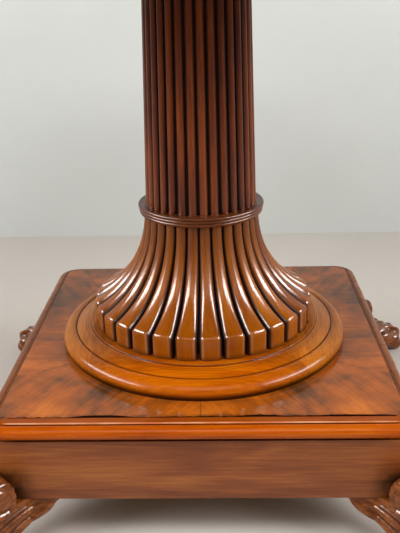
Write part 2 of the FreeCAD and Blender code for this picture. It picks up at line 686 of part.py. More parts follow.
# Tilting head
def top_block():
    rear = PIVOT_Y + BLOCK_THICKNESS / 2
    face = outline(
        (BLOCK_FRONT, BLOCK_UNDERSIDE),
        (PIVOT_Y, BLOCK_UNDERSIDE),
        (rear, PIVOT_Z, PIVOT_Y, BLOCK_TOP),
        (BLOCK_FRONT, BLOCK_TOP),
    )
    face.rotate(ORIGIN, UP, 90)
    face.translate(FreeCAD.Vector(BLOCK_HALF_WIDTH, 0, 0))
    block = face.extrude(FreeCAD.Vector(-2 * BLOCK_HALF_WIDTH, 0, 0))
    hollows = [
        drum(TENON_RADIUS + TENON_CLEARANCE, BLOCK_UNDERSIDE, BLOCK_UNDERSIDE + BLOCK_THICKNESS / 2),
        drum(ROD_RADIUS + ROD_CLEARANCE, BLOCK_UNDERSIDE, BLOCK_TOP),
        drum(WASHER_RADIUS + WASHER_ROOM, UPPER_WASHER, BLOCK_TOP),
        strike_recess(0.0),
        bolt_pocket(BOLT_TRAVEL + BOLT_END_ROOM),
    ]
    reach = BLOCK_HALF_WIDTH - PIN_DEPTH
    hole = PIVOT_RADIUS + PIVOT_CLEARANCE
    hollows.append(crossbar(hole, reach, BLOCK_HALF_WIDTH, PIVOT_Y, PIVOT_Z))
    hollows.append(crossbar(hole, -BLOCK_HALF_WIDTH, -reach, PIVOT_Y, PIVOT_Z))
    hollows += [strike_screw_hole(x) for x in strike_screw_places()]
    return block.cut(hollows)


def pivot_pins():
    inner = BLOCK_HALF_WIDTH - PIN_DEPTH + END_GAP
    outer = BLOCK_HALF_WIDTH + BEARER_GAP + BEARER_WIDTH - END_GAP
    pins = [(inner, outer), (-outer, -inner)]
    return Part.makeCompound([crossbar(PIVOT_RADIUS, low, high, PIVOT_Y, PIVOT_Z) for low, high in pins])


def bearer(side):
    low = TOP_UNDERSIDE - BEARER_DEPTH
    end = BEARER_HALF_LENGTH
    shoulder = end - BEARER_TAPER
    nose = TOP_UNDERSIDE - BEARER_NOSE_DEPTH
    sweep = shoulder + BEARER_SWEEP_REACH
    face = outline(
        (-end, TOP_UNDERSIDE),
        (-end, nose),
        (-sweep, nose - BEARER_SWEEP, -shoulder, low),
        (shoulder, low),
        (sweep, nose - BEARER_SWEEP, end, nose),
        (end, TOP_UNDERSIDE),
    )
    face.rotate(ORIGIN, UP, 90)
    inner = BLOCK_HALF_WIDTH + BEARER_GAP
    face.translate(FreeCAD.Vector(inner + BEARER_WIDTH, 0, 0))
    bar = face.extrude(FreeCAD.Vector(-BEARER_WIDTH, 0, 0))
    holes = [crossbar(PIVOT_RADIUS + PIVOT_CLEARANCE, inner, inner + BEARER_WIDTH, PIVOT_Y, PIVOT_Z)]
    for y in BEARER_SCREW_PLACES:
        x = inner + BEARER_WIDTH / 2
        holes.append(drum(LARGE_SCREW_RADIUS + SCREW_HOLE_CLEARANCE, low, TOP_UNDERSIDE, x, y))
        holes.append(drum(COUNTERBORE_SHARE * LARGE_SCREW_RADIUS, low, low + BEARER_DEPTH / 2, x, y))
    bar = bar.cut(holes)
    return bar if side > 0 else bar.mirror(ORIGIN, FreeCAD.Vector(1, 0, 0))


def bearer_screw_spots():
    x = BLOCK_HALF_WIDTH + BEARER_GAP + BEARER_WIDTH / 2
    return [(side * x, y) for side in (1, -1) for y in BEARER_SCREW_PLACES]


def bearer_screws():
    neck = TOP_UNDERSIDE - BEARER_DEPTH / 2
    screws = []
    for x, y in bearer_screw_spots():
        head = drum(SCREW_HEAD_SHARE * LARGE_SCREW_RADIUS, neck - LARGE_HEAD_HEIGHT, neck, x, y)
        shank = drum(LARGE_SCREW_RADIUS, neck, TOP_UNDERSIDE + LARGE_SCREW_BITE, x, y)
        screws.append(head.fuse(shank))
    return Part.makeCompound(screws)


def oval_top():
    board = oval_slab(TOP_LENGTH / 2, TOP_WIDTH / 2, TOP_UNDERSIDE, TABLE_HEIGHT - TOP_VENEER)
    upper = [edge for edge in board.Edges if edge.BoundBox.ZMin > TOP_UNDERSIDE + TOP_UPPER_ROUND]
    board = board.makeFillet(TOP_UPPER_ROUND, upper)
    lower = [edge for edge in board.Edges if edge.BoundBox.ZMax < TOP_UNDERSIDE + TOP_GAP]
    board = board.makeFillet(TOP_LOWER_ROUND, lower)
    large = LARGE_SCREW_RADIUS + SCREW_HOLE_CLEARANCE
    small = SMALL_SCREW_RADIUS + SCREW_HOLE_CLEARANCE
    large_end = TOP_UNDERSIDE + LARGE_SCREW_BITE + SCREW_TIP_GAP
    small_end = TOP_UNDERSIDE + SMALL_SCREW_BITE + SCREW_TIP_GAP
    holes = [drum(large, TOP_UNDERSIDE, large_end, x, y) for x, y in bearer_screw_spots()]
    holes += [drum(small, TOP_UNDERSIDE, small_end, x, y) for x, y in catch_screw_spots()]
    return board.cut(holes)


def top_veneer():
    inset = TOP_UPPER_ROUND + TOP_VENEER_MARGIN
    return oval_slab(TOP_LENGTH / 2 - inset, TOP_WIDTH / 2 - inset, TABLE_HEIGHT - TOP_VENEER, TABLE_HEIGHT)


# Brass bolt
def catch_screw_spots():
    x = CATCH_HALF_WIDTH - CATCH_SCREW_SIDE
    places = (CATCH_FRONT + CATCH_SCREW_END, CATCH_BACK - CATCH_SCREW_END)
    return [(side * x, y) for side in (1, -1) for y in places]


def catch_packer():
    half = PACKER_HALF_WIDTH
    front = CATCH_FRONT - PACKER_MARGIN
    board = slab(-half, half, front, CATCH_BACK + PACKER_MARGIN, PLATE_TOP, TOP_UNDERSIDE)
    hole = SMALL_SCREW_RADIUS + SCREW_HOLE_CLEARANCE
    return board.cut([drum(hole, PLATE_TOP, TOP_UNDERSIDE, x, y) for x, y in catch_screw_spots()])


def staple(y):
    inner = BOLT_HALF_WIDTH + SLIDE_GAP
    low = BOLT_UNDERSIDE - SLIDE_GAP
    outer = inner + STAPLE_WALL
    bridge = slab(-outer, outer, y, y + STAPLE_LENGTH, low - STAPLE_WALL, PLATE_UNDERSIDE)
    return bridge.cut(slab(-inner, inner, y, y + STAPLE_LENGTH, low, PLATE_UNDERSIDE))


def catch_plate():
    half = CATCH_HALF_WIDTH
    plate = slab(-half, half, CATCH_FRONT, CATCH_BACK, PLATE_UNDERSIDE, PLATE_TOP)
    plate = plate.fuse([staple(CATCH_FRONT + STAPLE_FRONT), staple(CATCH_BACK - STAPLE_BACK)])
    hole = SMALL_SCREW_RADIUS + SCREW_HOLE_CLEARANCE
    return plate.cut([drum(hole, PLATE_UNDERSIDE, PLATE_TOP, x, y) for x, y in catch_screw_spots()])


def catch_screws():
    low = PLATE_UNDERSIDE
    screws = []
    for x, y in catch_screw_spots():
        head = drum(SCREW_HEAD_SHARE * SMALL_SCREW_RADIUS, low - SMALL_HEAD_HEIGHT, low, x, y)
        screws.append(head.fuse(drum(SMALL_SCREW_RADIUS, low, TOP_UNDERSIDE + SMALL_SCREW_BITE, x, y)))
    return Part.makeCompound(screws)


def catch_bolt():
    half = BOLT_HALF_WIDTH
    bar = slab(-half, half, CATCH_FRONT + BOLT_TAIL, BOLT_TIP, BOLT_UNDERSIDE, BOLT_TOP)
    knob_end = BOLT_UNDERSIDE - KNOB_LENGTH
    knob = turned(outline(
        (0, BOLT_UNDERSIDE + KNOB_SINK),
        (KNOB_ROOT_RADIUS, BOLT_UNDERSIDE + KNOB_SINK),
        (KNOB_STEM_RADIUS, BOLT_UNDERSIDE - KNOB_STEM_LENGTH),
        (KNOB_RADIUS, BOLT_UNDERSIDE - KNOB_MIDDLE, KNOB_END_RADIUS, knob_end),
        (0, knob_end),
    ))
    knob.translate(FreeCAD.Vector(0, CATCH_FRONT + KNOB_PLACE, 0))
    return bar.fuse(knob)


def strike_recess(clearance):
    half = STRIKE_HALF_WIDTH + clearance
    tall = STRIKE_HEIGHT / 2 + clearance
    middle = (BOLT_TOP + BOLT_UNDERSIDE) / 2
    return slab(-half, half, BLOCK_FRONT, BLOCK_FRONT + PLATE_THICKNESS, middle - tall, middle + tall)


def bolt_pocket(depth):
    half = BOLT_HALF_WIDTH + 2 * SLIDE_GAP
    low = BOLT_UNDERSIDE - 2 * SLIDE_GAP
    high = BOLT_TOP + 2 * SLIDE_GAP
    return slab(-half, half, BLOCK_FRONT, BLOCK_FRONT + depth, low, high)


def strike_screw_places():
    x = STRIKE_HALF_WIDTH - STRIKE_SCREW_SETBACK
    return (x, -x)


def strike_screw_rod(radius, x, y_low, y_high):
    start = FreeCAD.Vector(x, y_low, (BOLT_TOP + BOLT_UNDERSIDE) / 2)
    return Part.makeCylinder(radius, y_high - y_low, start, FreeCAD.Vector(0, 1, 0))


def strike_screw_hole(x):
    end = BLOCK_FRONT + STRIKE_SCREW_BITE + END_GAP
    return strike_screw_rod(SMALL_SCREW_RADIUS + SCREW_HOLE_CLEARANCE, x, BLOCK_FRONT, end)


def strike_plate():
    holes = [strike_screw_hole(x) for x in strike_screw_places()]
    return strike_recess(-STRIKE_FIT).cut(holes + [bolt_pocket(PLATE_THICKNESS)])


def strike_screws():
    screws = []
    for x in strike_screw_places():
        head_radius = SCREW_HEAD_SHARE * SMALL_SCREW_RADIUS
        head = strike_screw_rod(head_radius, x, BLOCK_FRONT - STRIKE_HEAD_HEIGHT, BLOCK_FRONT)
        shank = strike_screw_rod(SMALL_SCREW_RADIUS, x, BLOCK_FRONT, BLOCK_FRONT + STRIKE_SCREW_BITE)
        screws.append(head.fuse(shank))
    return Part.makeCompound(screws)


# All pieces by name
pieces = {
    "column_shaft": column_shaft(),
    "column_collar": column_collar(),
    "column_capital": column_capital(),
    "flared_base": flared_base(),
    "platform_core": platform_core(),
    "platform_veneer": platform_veneer(),
    "glue_blocks": glue_blocks(),
    "cross_rail_long": cross_rail(True),
    "cross_rail_short": cross_rail(False),
    "tie_rod": tie_rod(),
    "tie_rod_nuts": tie_rod_nuts(),
    "tie_rod_washers": tie_rod_washers(),
    "foot_dowels": foot_dowels(),
    "top_block": top_block(),
    "pivot_pins": pivot_pins(),
    "bearer_right": bearer(1),
    "bearer_left": bearer(-1),
    "bearer_screws": bearer_screws(),
    "oval_top": oval_top(),
    "top_veneer": top_veneer(),
    "catch_packer": catch_packer(),
    "catch_plate": catch_plate(),
    "catch_screws": catch_screws(),
    "catch_bolt": catch_bolt(),
    "strike_plate": strike_plate(),
    "strike_screws": strike_screws(),
}
for side, angle in SIDES.items():
    pieces["plinth_segment_" + side] = plinth_segment(angle + PLINTH_JOINT_ANGLE - 90.0)
    pieces["edge_moulding_" + side] = edge_moulding(angle, FRONT_BORDER if side == "front" else SIDE_BORDER)
    pieces["frieze_" + side] = frieze_board(angle)
for corner, angle in CORNERS.items():
    pieces["corner_block_" + corner] = corner_block(angle)
    pieces["foot_" + corner] = foot(angle)
    pieces["left_wing_" + corner] = foot_wing(angle, True)
    pieces["right_wing_" + corner] = foot_wing(angle, False)

os.makedirs("parts", exist_ok=True)
for name, shape in pieces.items():
    shape.exportStep("parts/" + name + ".step")
    print(name, "valid" if shape.isValid() else "NOT VALID", len(shape.Solids), round(shape.Volume))
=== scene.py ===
# %% [markdown]
# Oval pedestal table: a tilting oval top on a reeded column, a trumpet of carved ribs, a turned plinth
# and a veneered platform on four carved feet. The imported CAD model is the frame. It gives every place
# and size, and this lesson dresses it: pieces that need carving or soft arrises are modelled again with
# Blender's own tools, and plain joinery keeps its CAD solid and only gets a finish.

# %% Load the frame
import math

import bmesh
import bpy
from mathutils import Matrix, Vector


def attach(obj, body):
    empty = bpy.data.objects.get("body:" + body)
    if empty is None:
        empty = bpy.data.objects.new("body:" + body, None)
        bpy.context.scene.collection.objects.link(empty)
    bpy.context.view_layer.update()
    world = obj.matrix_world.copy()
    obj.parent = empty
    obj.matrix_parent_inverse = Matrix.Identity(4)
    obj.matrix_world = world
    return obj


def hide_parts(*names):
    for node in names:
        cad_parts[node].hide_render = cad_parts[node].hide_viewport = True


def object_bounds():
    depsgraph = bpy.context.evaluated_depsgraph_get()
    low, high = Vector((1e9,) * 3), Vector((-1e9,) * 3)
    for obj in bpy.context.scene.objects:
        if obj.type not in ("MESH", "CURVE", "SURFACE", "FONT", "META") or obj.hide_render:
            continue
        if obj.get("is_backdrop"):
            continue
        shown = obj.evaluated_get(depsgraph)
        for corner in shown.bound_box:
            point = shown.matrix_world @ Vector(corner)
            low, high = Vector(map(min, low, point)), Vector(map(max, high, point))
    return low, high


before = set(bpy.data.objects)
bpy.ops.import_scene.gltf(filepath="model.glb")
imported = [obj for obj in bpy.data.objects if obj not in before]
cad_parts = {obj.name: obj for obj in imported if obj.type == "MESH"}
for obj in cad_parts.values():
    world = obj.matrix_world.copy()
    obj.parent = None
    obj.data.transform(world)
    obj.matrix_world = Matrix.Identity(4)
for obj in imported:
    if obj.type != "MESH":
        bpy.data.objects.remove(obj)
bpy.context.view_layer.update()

MM = 0.001

# %% [markdown]
# The camera stands a little above the platform and looks down at it, close to the column. A lens length
# in Blender belongs to the longer side of the picture, so the focal length in pixels is divided by the
# picture's height. The three turning angles are made into a matrix, which is safer than a chain of
# rotations whose order has to be remembered.

# %% Camera
CAMERA_PLACE = Vector((0.0246, -0.9183, 0.6220))
YAW_PITCH_ROLL = (-1.732, 21.294, -1.336)
FOCAL_PIXELS = 742.2
PICTURE_HEIGHT = 533
SENSOR = 36

yaw, pitch, roll = (math.radians(angle) for angle in YAW_PITCH_ROLL)
ahead = math.cos(pitch)
forward = Vector((math.sin(yaw) * ahead, math.cos(yaw) * ahead, -math.sin(pitch)))
level = Vector((math.cos(yaw), -math.sin(yaw), 0))
upright = level.cross(forward)
right = math.cos(roll) * level + math.sin(roll) * upright
above = math.cos(roll) * upright - math.sin(roll) * level

bpy.ops.object.camera_add()
camera = bpy.context.object
aim = Matrix((right, above, -forward)).transposed()
camera.matrix_world = Matrix.Translation(CAMERA_PLACE) @ aim.to_4x4()
camera.data.sensor_width = SENSOR
camera.data.lens = FOCAL_PIXELS / PICTURE_HEIGHT * SENSOR
camera.data.clip_start = 50 * MM
bpy.context.scene.camera = camera
bpy.context.scene.view_settings.view_transform = "Standard"
print("lens", round(camera.data.lens, 2), "mm")

# %% [markdown]
# Modelling by hand means: put down what you hold, take one piece into edit mode, pick some of its
# edges, and use a tool on them. These helpers are those moves. Picking goes by place, because the
# numbers of the edges change as soon as a tool has been used.

# %% Helpers for the hands
NEAR = 0.05 * MM
WELD = 0.02 * MM
FINE_WELD = 0.004 * MM


def put_down():
    if bpy.context.mode != "OBJECT":
        bpy.ops.object.mode_set(mode="OBJECT")
    bpy.ops.object.select_all(action="DESELECT")


def hold(piece):
    """Selects this piece and no other."""
    put_down()
    bpy.context.view_layer.objects.active = piece
    piece.select_set(True)


def take(piece):
    """Opens a piece in edit mode, with nothing selected in it."""
    hold(piece)
    bpy.ops.object.mode_set(mode="EDIT")
    bpy.ops.mesh.select_all(action="DESELECT")


def pick(piece, test):
    """Selects the edges of a piece in edit mode that pass a test."""
    bpy.ops.mesh.select_mode(type="EDGE")
    mesh = bmesh.from_edit_mesh(piece.data)
    for edge in mesh.edges:
        edge.select_set(bool(test(edge)))
    mesh.select_flush_mode()
    bmesh.update_edit_mesh(piece.data)


def middle(edge):
    return (edge.verts[0].co + edge.verts[1].co) / 2


def weld(distance=WELD):
    """Merges points that lie on each other, and leaves everything selected."""
    bpy.ops.mesh.select_all(action="SELECT")
    bpy.ops.mesh.remove_doubles(threshold=distance)
    bpy.ops.mesh.select_all(action="SELECT")


def clean(piece, sharp_angle=35):
    """Merges doubles, points the faces outwards and smooths all but the sharp edges."""
    take(piece)
    weld(FINE_WELD)
    bpy.ops.mesh.normals_make_consistent(inside=False)
    hold(piece)
    bpy.ops.object.shade_smooth_by_angle(angle=math.radians(sharp_angle))
    put_down()
    return piece


def apply_modifier(piece, kind, **settings):
    hold(piece)
    modifier = piece.modifiers.new(kind.lower(), kind)
    for name, value in settings.items():
        setattr(modifier, name, value)
    bpy.ops.object.modifier_apply(modifier=modifier.name)


print("hands ready")

# %% [markdown]
# Most of the table starts as a profile: a chain of lines and arcs, as a joiner draws it on a template.
# The chain is extruded point by point from a single vertex, and Spin then carries it round. What stands on
# all four sides or corners is modelled once and copied, each copy with its own mesh.

# %% Drawing, spinning and copying
SIDES = {"front": -90, "right": 0, "back": 90, "left": 180}
CORNERS = {"front_right": -45, "back_right": 45, "back_left": 135, "front_left": 225}


def draw(name, points):
    """A chain of edges, extruded point by point from a single vertex."""
    put_down()
    bpy.ops.mesh.primitive_plane_add(size=MM)
    piece = bpy.context.object
    piece.name = piece.data.name = name
    bpy.ops.object.mode_set(mode="EDIT")
    bpy.ops.mesh.select_mode(type="VERT")
    bpy.ops.mesh.select_all(action="SELECT")
    bpy.ops.mesh.merge(type="CENTER")
    bpy.ops.transform.translate(value=points[0])
    for here, there in zip(points, points[1:]):
        step = Vector(there) - Vector(here)
        bpy.ops.mesh.extrude_vertices_move(TRANSFORM_OT_translate={"value": step})
    return piece


def draw_closed(name, points):
    """A chain that comes back to its start, with all of it selected."""
    piece = draw(name, points + points[:1])
    weld()
    return piece


def arc(start, through, end, steps):
    """Points on the circle through three points of a plane, without the start."""
    (ax, ay), (bx, by), (cx, cy) = start, through, end
    d = 2 * (ax * (by - cy) + bx * (cy - ay) + cx * (ay - by))
    a2, b2, c2 = ax * ax + ay * ay, bx * bx + by * by, cx * cx + cy * cy
    ux = (a2 * (by - cy) + b2 * (cy - ay) + c2 * (ay - by)) / d
    uy = (a2 * (cx - bx) + b2 * (ax - cx) + c2 * (bx - ax)) / d
    first = math.atan2(ay - uy, ax - ux)
    halfway = math.atan2(by - uy, bx - ux)
    last = math.atan2(cy - uy, cx - ux)
    turn = math.remainder(halfway - first, math.tau) + math.remainder(last - halfway, math.tau)
    radius = math.hypot(ax - ux, ay - uy)
    angles = [first + turn * step / steps for step in range(1, steps + 1)]
    return [(ux + radius * math.cos(angle), uy + radius * math.sin(angle)) for angle in angles]


def outline(start, *steps, fine):
    """A profile in millimetres. A step of two numbers is a line, of four an arc through its first pair."""
    points = [start]
    for step in steps:
        if len(step) == 2:
            points.append(step)
        else:
            points += arc(points[-1], step[:2], step[2:], fine)
    return points


def spin(steps, angle, copies=False, centre=(0, 0, 0)):
    """Spins what is selected. With no window the tool turns clockwise, so the angle changes sign here."""
    bpy.ops.mesh.spin(steps=steps, dupli=copies, angle=-angle, center=centre, axis=(0, 0, 1))


def turned_copy(piece, name, degrees):
    twin = piece.copy()
    twin.data = piece.data.copy()
    twin.name = twin.data.name = name
    bpy.context.collection.objects.link(twin)
    twin.data.transform(Matrix.Rotation(math.radians(degrees), 4, "Z"))
    return twin


def all_round(piece, stem, places, home):
    """The piece, which stands at home, and its copies at the other places, by the name of the place."""
    return {place: piece if place == home else turned_copy(piece, stem + place, angle - places[home])
            for place, angle in places.items()}


print("sides:", *SIDES, "corners:", *CORNERS)

# %% [markdown]
# The shaft is a bundle of convex reeds with narrow flat fillets between them. It could be a cylinder
# with grooves cut by a boolean, but then every groove needs cleaning. Here one reed's section is drawn,
# extruded upwards and shrunk a little at each step, which gives the taper, and the strip is then spun
# round the axis as copies that merge into one skin.

# %% Reeded shaft
REEDS = 32
REED_PHASE = 4.1
REED_HALF_SHARE = 0.39
REED_SWELL = 0.074
REED_FACETS = 14
FILLET_SINK = 0.5
SHAFT_LOW, SHAFT_HIGH = 355.5, 650.0
SHAFT_RADIUS, SHAFT_TOP_RADIUS = 70.7, 63.0
SHAFT_STEPS = 9
reed_pitch = math.tau / REEDS
reed_half = REED_HALF_SHARE * reed_pitch
valley = SHAFT_RADIUS * (1 - REED_SWELL)


def polar(radius, angle, z):
    """A point in metres, at an angle in radians from the front towards +X."""
    return (radius * MM * math.sin(angle), -radius * MM * math.cos(angle), z * MM)


def reed_section():
    """Radius and angle of the points across one reed, with half a fillet at each side."""
    side, foot = valley * math.sin(reed_half), valley * math.cos(reed_half)
    crown = [(-side, foot)] + arc((-side, foot), (0, SHAFT_RADIUS), (side, foot), REED_FACETS)
    reed = [(math.hypot(x, y), math.atan2(x, y)) for x, y in crown]
    fillet = valley - FILLET_SINK
    return [(fillet, -reed_pitch / 2)] + reed + [(fillet, reed_pitch / 2)]


def close_ends(piece, *levels):
    """Fills the open loops that lie at these heights."""
    for level in levels:
        pick(piece, lambda edge: edge.is_boundary and abs(middle(edge).z - level * MM) < NEAR)
        bpy.ops.mesh.edge_face_add()


turn = math.radians(REED_PHASE)
section = [polar(radius, turn + angle, SHAFT_LOW) for radius, angle in reed_section()]
shaft = draw("reeded_shaft", section)
bpy.ops.mesh.select_all(action="SELECT")
lift = (0, 0, (SHAFT_HIGH - SHAFT_LOW) * MM / SHAFT_STEPS)
taper = (SHAFT_TOP_RADIUS - SHAFT_RADIUS) / SHAFT_STEPS
for step in range(SHAFT_STEPS):
    shrink = (SHAFT_RADIUS + taper * (step + 1)) / (SHAFT_RADIUS + taper * step)
    bpy.ops.mesh.extrude_region_move(TRANSFORM_OT_translate={"value": lift})
    bpy.ops.transform.resize(value=(shrink, shrink, 1), center_override=(0, 0, 0))
bpy.ops.mesh.select_all(action="SELECT")
spin(REEDS, math.tau, copies=True)
weld()
close_ends(shaft, SHAFT_LOW, SHAFT_HIGH)
clean(shaft)
print("shaft:", len(shaft.data.polygons), "faces")

# %% [markdown]
# The collar and the capital are turned work. On a lathe the chisel follows a profile while the wood
# goes round, and Blender's Spin does the same: draw the profile as a closed chain, then spin it.

# %% Turned rings
LATHE_STEPS = 160
RING_BORE = 40.0
FLARE_TOP = 343.5
COLLAR_RADIUS = 80.5
COLLAR_BEADS = 3
BEAD_DEPTH = 3.2
BEAD_OVERHANG = 0.8
BLOCK_LOW = 670.7
CAPITAL_BEAD = 8.0
CAPITAL_LIP = 16.0


def lathe(name, profile, steps=LATHE_STEPS, start=0.0, sweep=math.tau):
    """Spins a closed profile of (radius, height) in millimetres about the column's axis."""
    piece = draw_closed(name, [polar(radius, start, z) for radius, z in profile])
    spin(steps, sweep)
    return piece


bead = (SHAFT_LOW - FLARE_TOP) / COLLAR_BEADS
beads = []
for place in range(COLLAR_BEADS):
    crown = COLLAR_RADIUS - BEAD_OVERHANG * (COLLAR_BEADS - 1 - place)
    quirk = crown - BEAD_DEPTH
    low = FLARE_TOP + place * bead
    beads += [(quirk, low), (crown, low + bead / 2, quirk, low + bead)]
collar = lathe("collar_ring", outline(
    (RING_BORE, FLARE_TOP), *beads, (RING_BORE, SHAFT_LOW), fine=10))
clean(collar)

neck = SHAFT_TOP_RADIUS + 1.5
bead_top = SHAFT_HIGH + CAPITAL_BEAD
capital = lathe("capital_ring", outline(
    (RING_BORE, SHAFT_HIGH),
    (neck, SHAFT_HIGH),
    (neck + 4.5, SHAFT_HIGH + CAPITAL_BEAD / 2, neck, bead_top),
    (neck + 5.0, bead_top + 7.0, neck + CAPITAL_LIP, BLOCK_LOW - 3.0),
    (neck + CAPITAL_LIP, BLOCK_LOW),
    (RING_BORE, BLOCK_LOW),
    fine=10,
))
clean(capital)
print("rings:", len(collar.data.polygons), "and", len(capital.data.polygons), "faces")

# %% [markdown]
# The flare is the hardest piece: thirty ribs that fall from the column like a skirt and end in upright
# blocks, with deep narrow slots between them. One rib is enough to model. It could be a strip with
# bevelled edges, but a bevel has one width and these ribs change: near the column they are round bars,
# and at the end pads with firmer edges. So lines are drawn along the rib, each at its own place in the
# section, and bridged into a skin. First come the two curves that the lines follow, in the plane of
# radius and height: the crest of the rib, and the floor of the slot beside it.

# %% Curves of a rib
RIBS = 30
RIB_PHASE = 4.7
RIB_HALF_ANGLE = 5.25
RIB_END_RADIUS = 144.2
RIB_END_HEIGHT = 31.0
NECK_RADIUS = 73.5
PLINTH_TOP = 199.5
END_ROUNDING = 6.2
CREST_HOLLOW = (95.0, 271.5)
SLOT_HOLLOW = (81.0, 266.0)
NECK_SLOT, END_SLOT = 7.0, 24.0
rib_pitch = math.tau / RIBS
rib_half = math.radians(RIB_HALF_ANGLE)
rib_middle = math.radians(RIB_PHASE)
arris = PLINTH_TOP + RIB_END_HEIGHT

crest = [(NECK_RADIUS, FLARE_TOP)]
crest += arc(crest[0], CREST_HOLLOW, (RIB_END_RADIUS - END_ROUNDING, arris + 1.2), 20)
crest += arc(crest[-1], (RIB_END_RADIUS - 1.6, arris - 1.4), (RIB_END_RADIUS, arris - END_ROUNDING), 6)
crest += [(RIB_END_RADIUS, PLINTH_TOP + 13.0), (RIB_END_RADIUS, PLINTH_TOP)]
slot_end = RIB_END_RADIUS - END_SLOT
slot_floor = [(NECK_RADIUS - NECK_SLOT, FLARE_TOP)]
slot_floor += arc(slot_floor[0], SLOT_HOLLOW, (slot_end, PLINTH_TOP + 9.0), 26)
slot_floor += [(slot_end + 2.0, PLINTH_TOP + 4.0), (slot_end + 4.0, PLINTH_TOP)]
print("crest:", len(crest), "points, slot:", len(slot_floor), "points")

# %% [markdown]
# Across the rib, each half has seven lines round its edge and two on the floor of the slot. The rounding
# shrinks along the rib from almost the whole half width, a round bar, to half of it, a pad. The finished
# twelve degrees are then spun about the axis as copies.

# %% Ribbed flare
ROUND_BAR, FIRM_PAD = 0.88, 0.52
PAD_START, PAD_RUN = 92.0, 50.0
CROWN = 0.35
EDGE_TURNS = range(0, 91, 15)


def into_wood(row):
    """The direction straight into the rib at a row of its crest, in the plane of radius and height."""
    if row == 0:
        return (-1.0, 0.0)
    (r0, z0), (r1, z1) = crest[row - 1], crest[min(row + 1, len(crest) - 1)]
    length = math.hypot(r1 - r0, z1 - z0)
    return ((z1 - z0) / length, (r0 - r1) / length)


def crest_line(side, turn):
    """A line along the rib's rounded edge, which starts at turn 0 and ends at 90 degrees."""
    points = []
    for row, (radius, z) in enumerate(crest):
        ramp = min(1.0, max(0.0, (radius - PAD_START) / PAD_RUN))
        along = ramp * ramp * (3 - 2 * ramp)
        half_width = radius * math.sin(rib_half)
        rounding = half_width * (ROUND_BAR + (FIRM_PAD - ROUND_BAR) * along)
        off = half_width - rounding * (1 - math.sin(turn))
        deep = CROWN + rounding * (1 - math.cos(turn))
        inwards = into_wood(row)
        radius, z = radius + deep * inwards[0], z + deep * inwards[1]
        points.append(polar(math.hypot(radius, off), rib_middle + side * math.atan2(off, radius), z))
    return points


def line_at(angle, curve):
    """A curve of radius and height, at an angle from the middle of the rib."""
    return [polar(radius, rib_middle + angle, z) for radius, z in curve]


def half_rib(side):
    """Lines from the edge of the flat crest to the middle of the slot."""
    edges = [crest_line(side, math.radians(turn)) for turn in EDGE_TURNS]
    return edges + [line_at(side * angle, slot_floor) for angle in (rib_half, rib_pitch / 2)]


lines = half_rib(-1) + [line_at(0, crest)] + half_rib(1)
chains = [draw("ribbed_flare", line) for line in lines]
put_down()
for chain in chains:
    chain.select_set(True)
flare = bpy.context.view_layer.objects.active = chains[0]
bpy.ops.object.join()
take(flare)
bpy.ops.mesh.select_all(action="SELECT")
bpy.ops.mesh.bridge_edge_loops()
print("one rib:", len(bmesh.from_edit_mesh(flare.data).faces), "faces from", len(lines), "lines")
bpy.ops.mesh.select_all(action="SELECT")
spin(RIBS, math.tau, copies=True)
weld()
close_ends(flare, FLARE_TOP, PLINTH_TOP)
clean(flare, 50)
print("flare:", len(flare.data.polygons), "faces")

# %% [markdown]
# The plinth was glued up from four quarters and then turned, which is why a joint shows in the bullnose.
# A quarter is spun through ninety degrees less a hairline, its cut ends are filled, and the other three
# are turned copies. A groove runs round it, and a thin fillet stands where the ribs end.

# %% Turned plinth
PLATFORM_TOP = 172.0
PLINTH_RADIUS = 189.5
PLINTH_BORE = 60.0
GROOVE_RADIUS = 171.2
FILLET_RADIUS = 151.0
JOINT_ANGLE = 42.0
JOINT_HALF_WIDTH = 0.035
QUARTER_STEPS = 60
band = PLATFORM_TOP + 20.0
plinth_line = outline(
    (PLINTH_BORE, PLATFORM_TOP),
    (PLINTH_RADIUS - 2.5, PLATFORM_TOP),
    (PLINTH_RADIUS - 1.8, PLATFORM_TOP + 12.0, GROOVE_RADIUS + 1.2, band),
    (GROOVE_RADIUS + 0.3, band - 0.6),
    (GROOVE_RADIUS, band - 1.8),
    (GROOVE_RADIUS - 0.5, band - 1.8),
    (GROOVE_RADIUS - 0.8, band - 0.2),
    (GROOVE_RADIUS - 1.6, band + 0.4),
    (FILLET_RADIUS + 1.4, PLINTH_TOP - 2.4),
    (FILLET_RADIUS + 1.0, PLINTH_TOP - 3.0),
    (FILLET_RADIUS + 0.6, PLINTH_TOP - 2.2),
    (FILLET_RADIUS + 0.9, PLINTH_TOP - 0.5, FILLET_RADIUS - 1.0, PLINTH_TOP),
    (PLINTH_BORE, PLINTH_TOP),
    fine=12,
)
start = math.radians(JOINT_ANGLE - 90 + JOINT_HALF_WIDTH)
sweep = math.radians(90 - 2 * JOINT_HALF_WIDTH)
quarter = lathe("plinth_front", plinth_line, QUARTER_STEPS, start, sweep)
pick(quarter, lambda edge: edge.is_boundary and edge.verts[0].co.x < 0)
bpy.ops.mesh.edge_face_add()
pick(quarter, lambda edge: edge.is_boundary)
bpy.ops.mesh.edge_face_add()
clean(quarter)
plinth = all_round(quarter, "plinth_", SIDES, "front")
print("plinth quarters:", len(plinth), "of", len(quarter.data.polygons), "faces")

# %% [markdown]
# A moulding frames the platform on each side, with half of a rounded corner at each end. Its section is
# drawn, extruded along the straight run, and spun through half a corner at both ends, so that one section
# makes the whole piece and the corners need no patching. The front one is broader than the others: it has
# a flat border in front of the veneer.

# %% Edge mouldings
LIP = 230.0
CORNER_CENTRE = 210.0
CORNER_STEPS = 8
MOULDING_INNER = 211.0
MOULDING_LOW = 148.3
FRONT_BORDER, SIDE_BORDER = 10.5, 2.6
VENEER = 1.5
BEAD_SWELL = 11.5


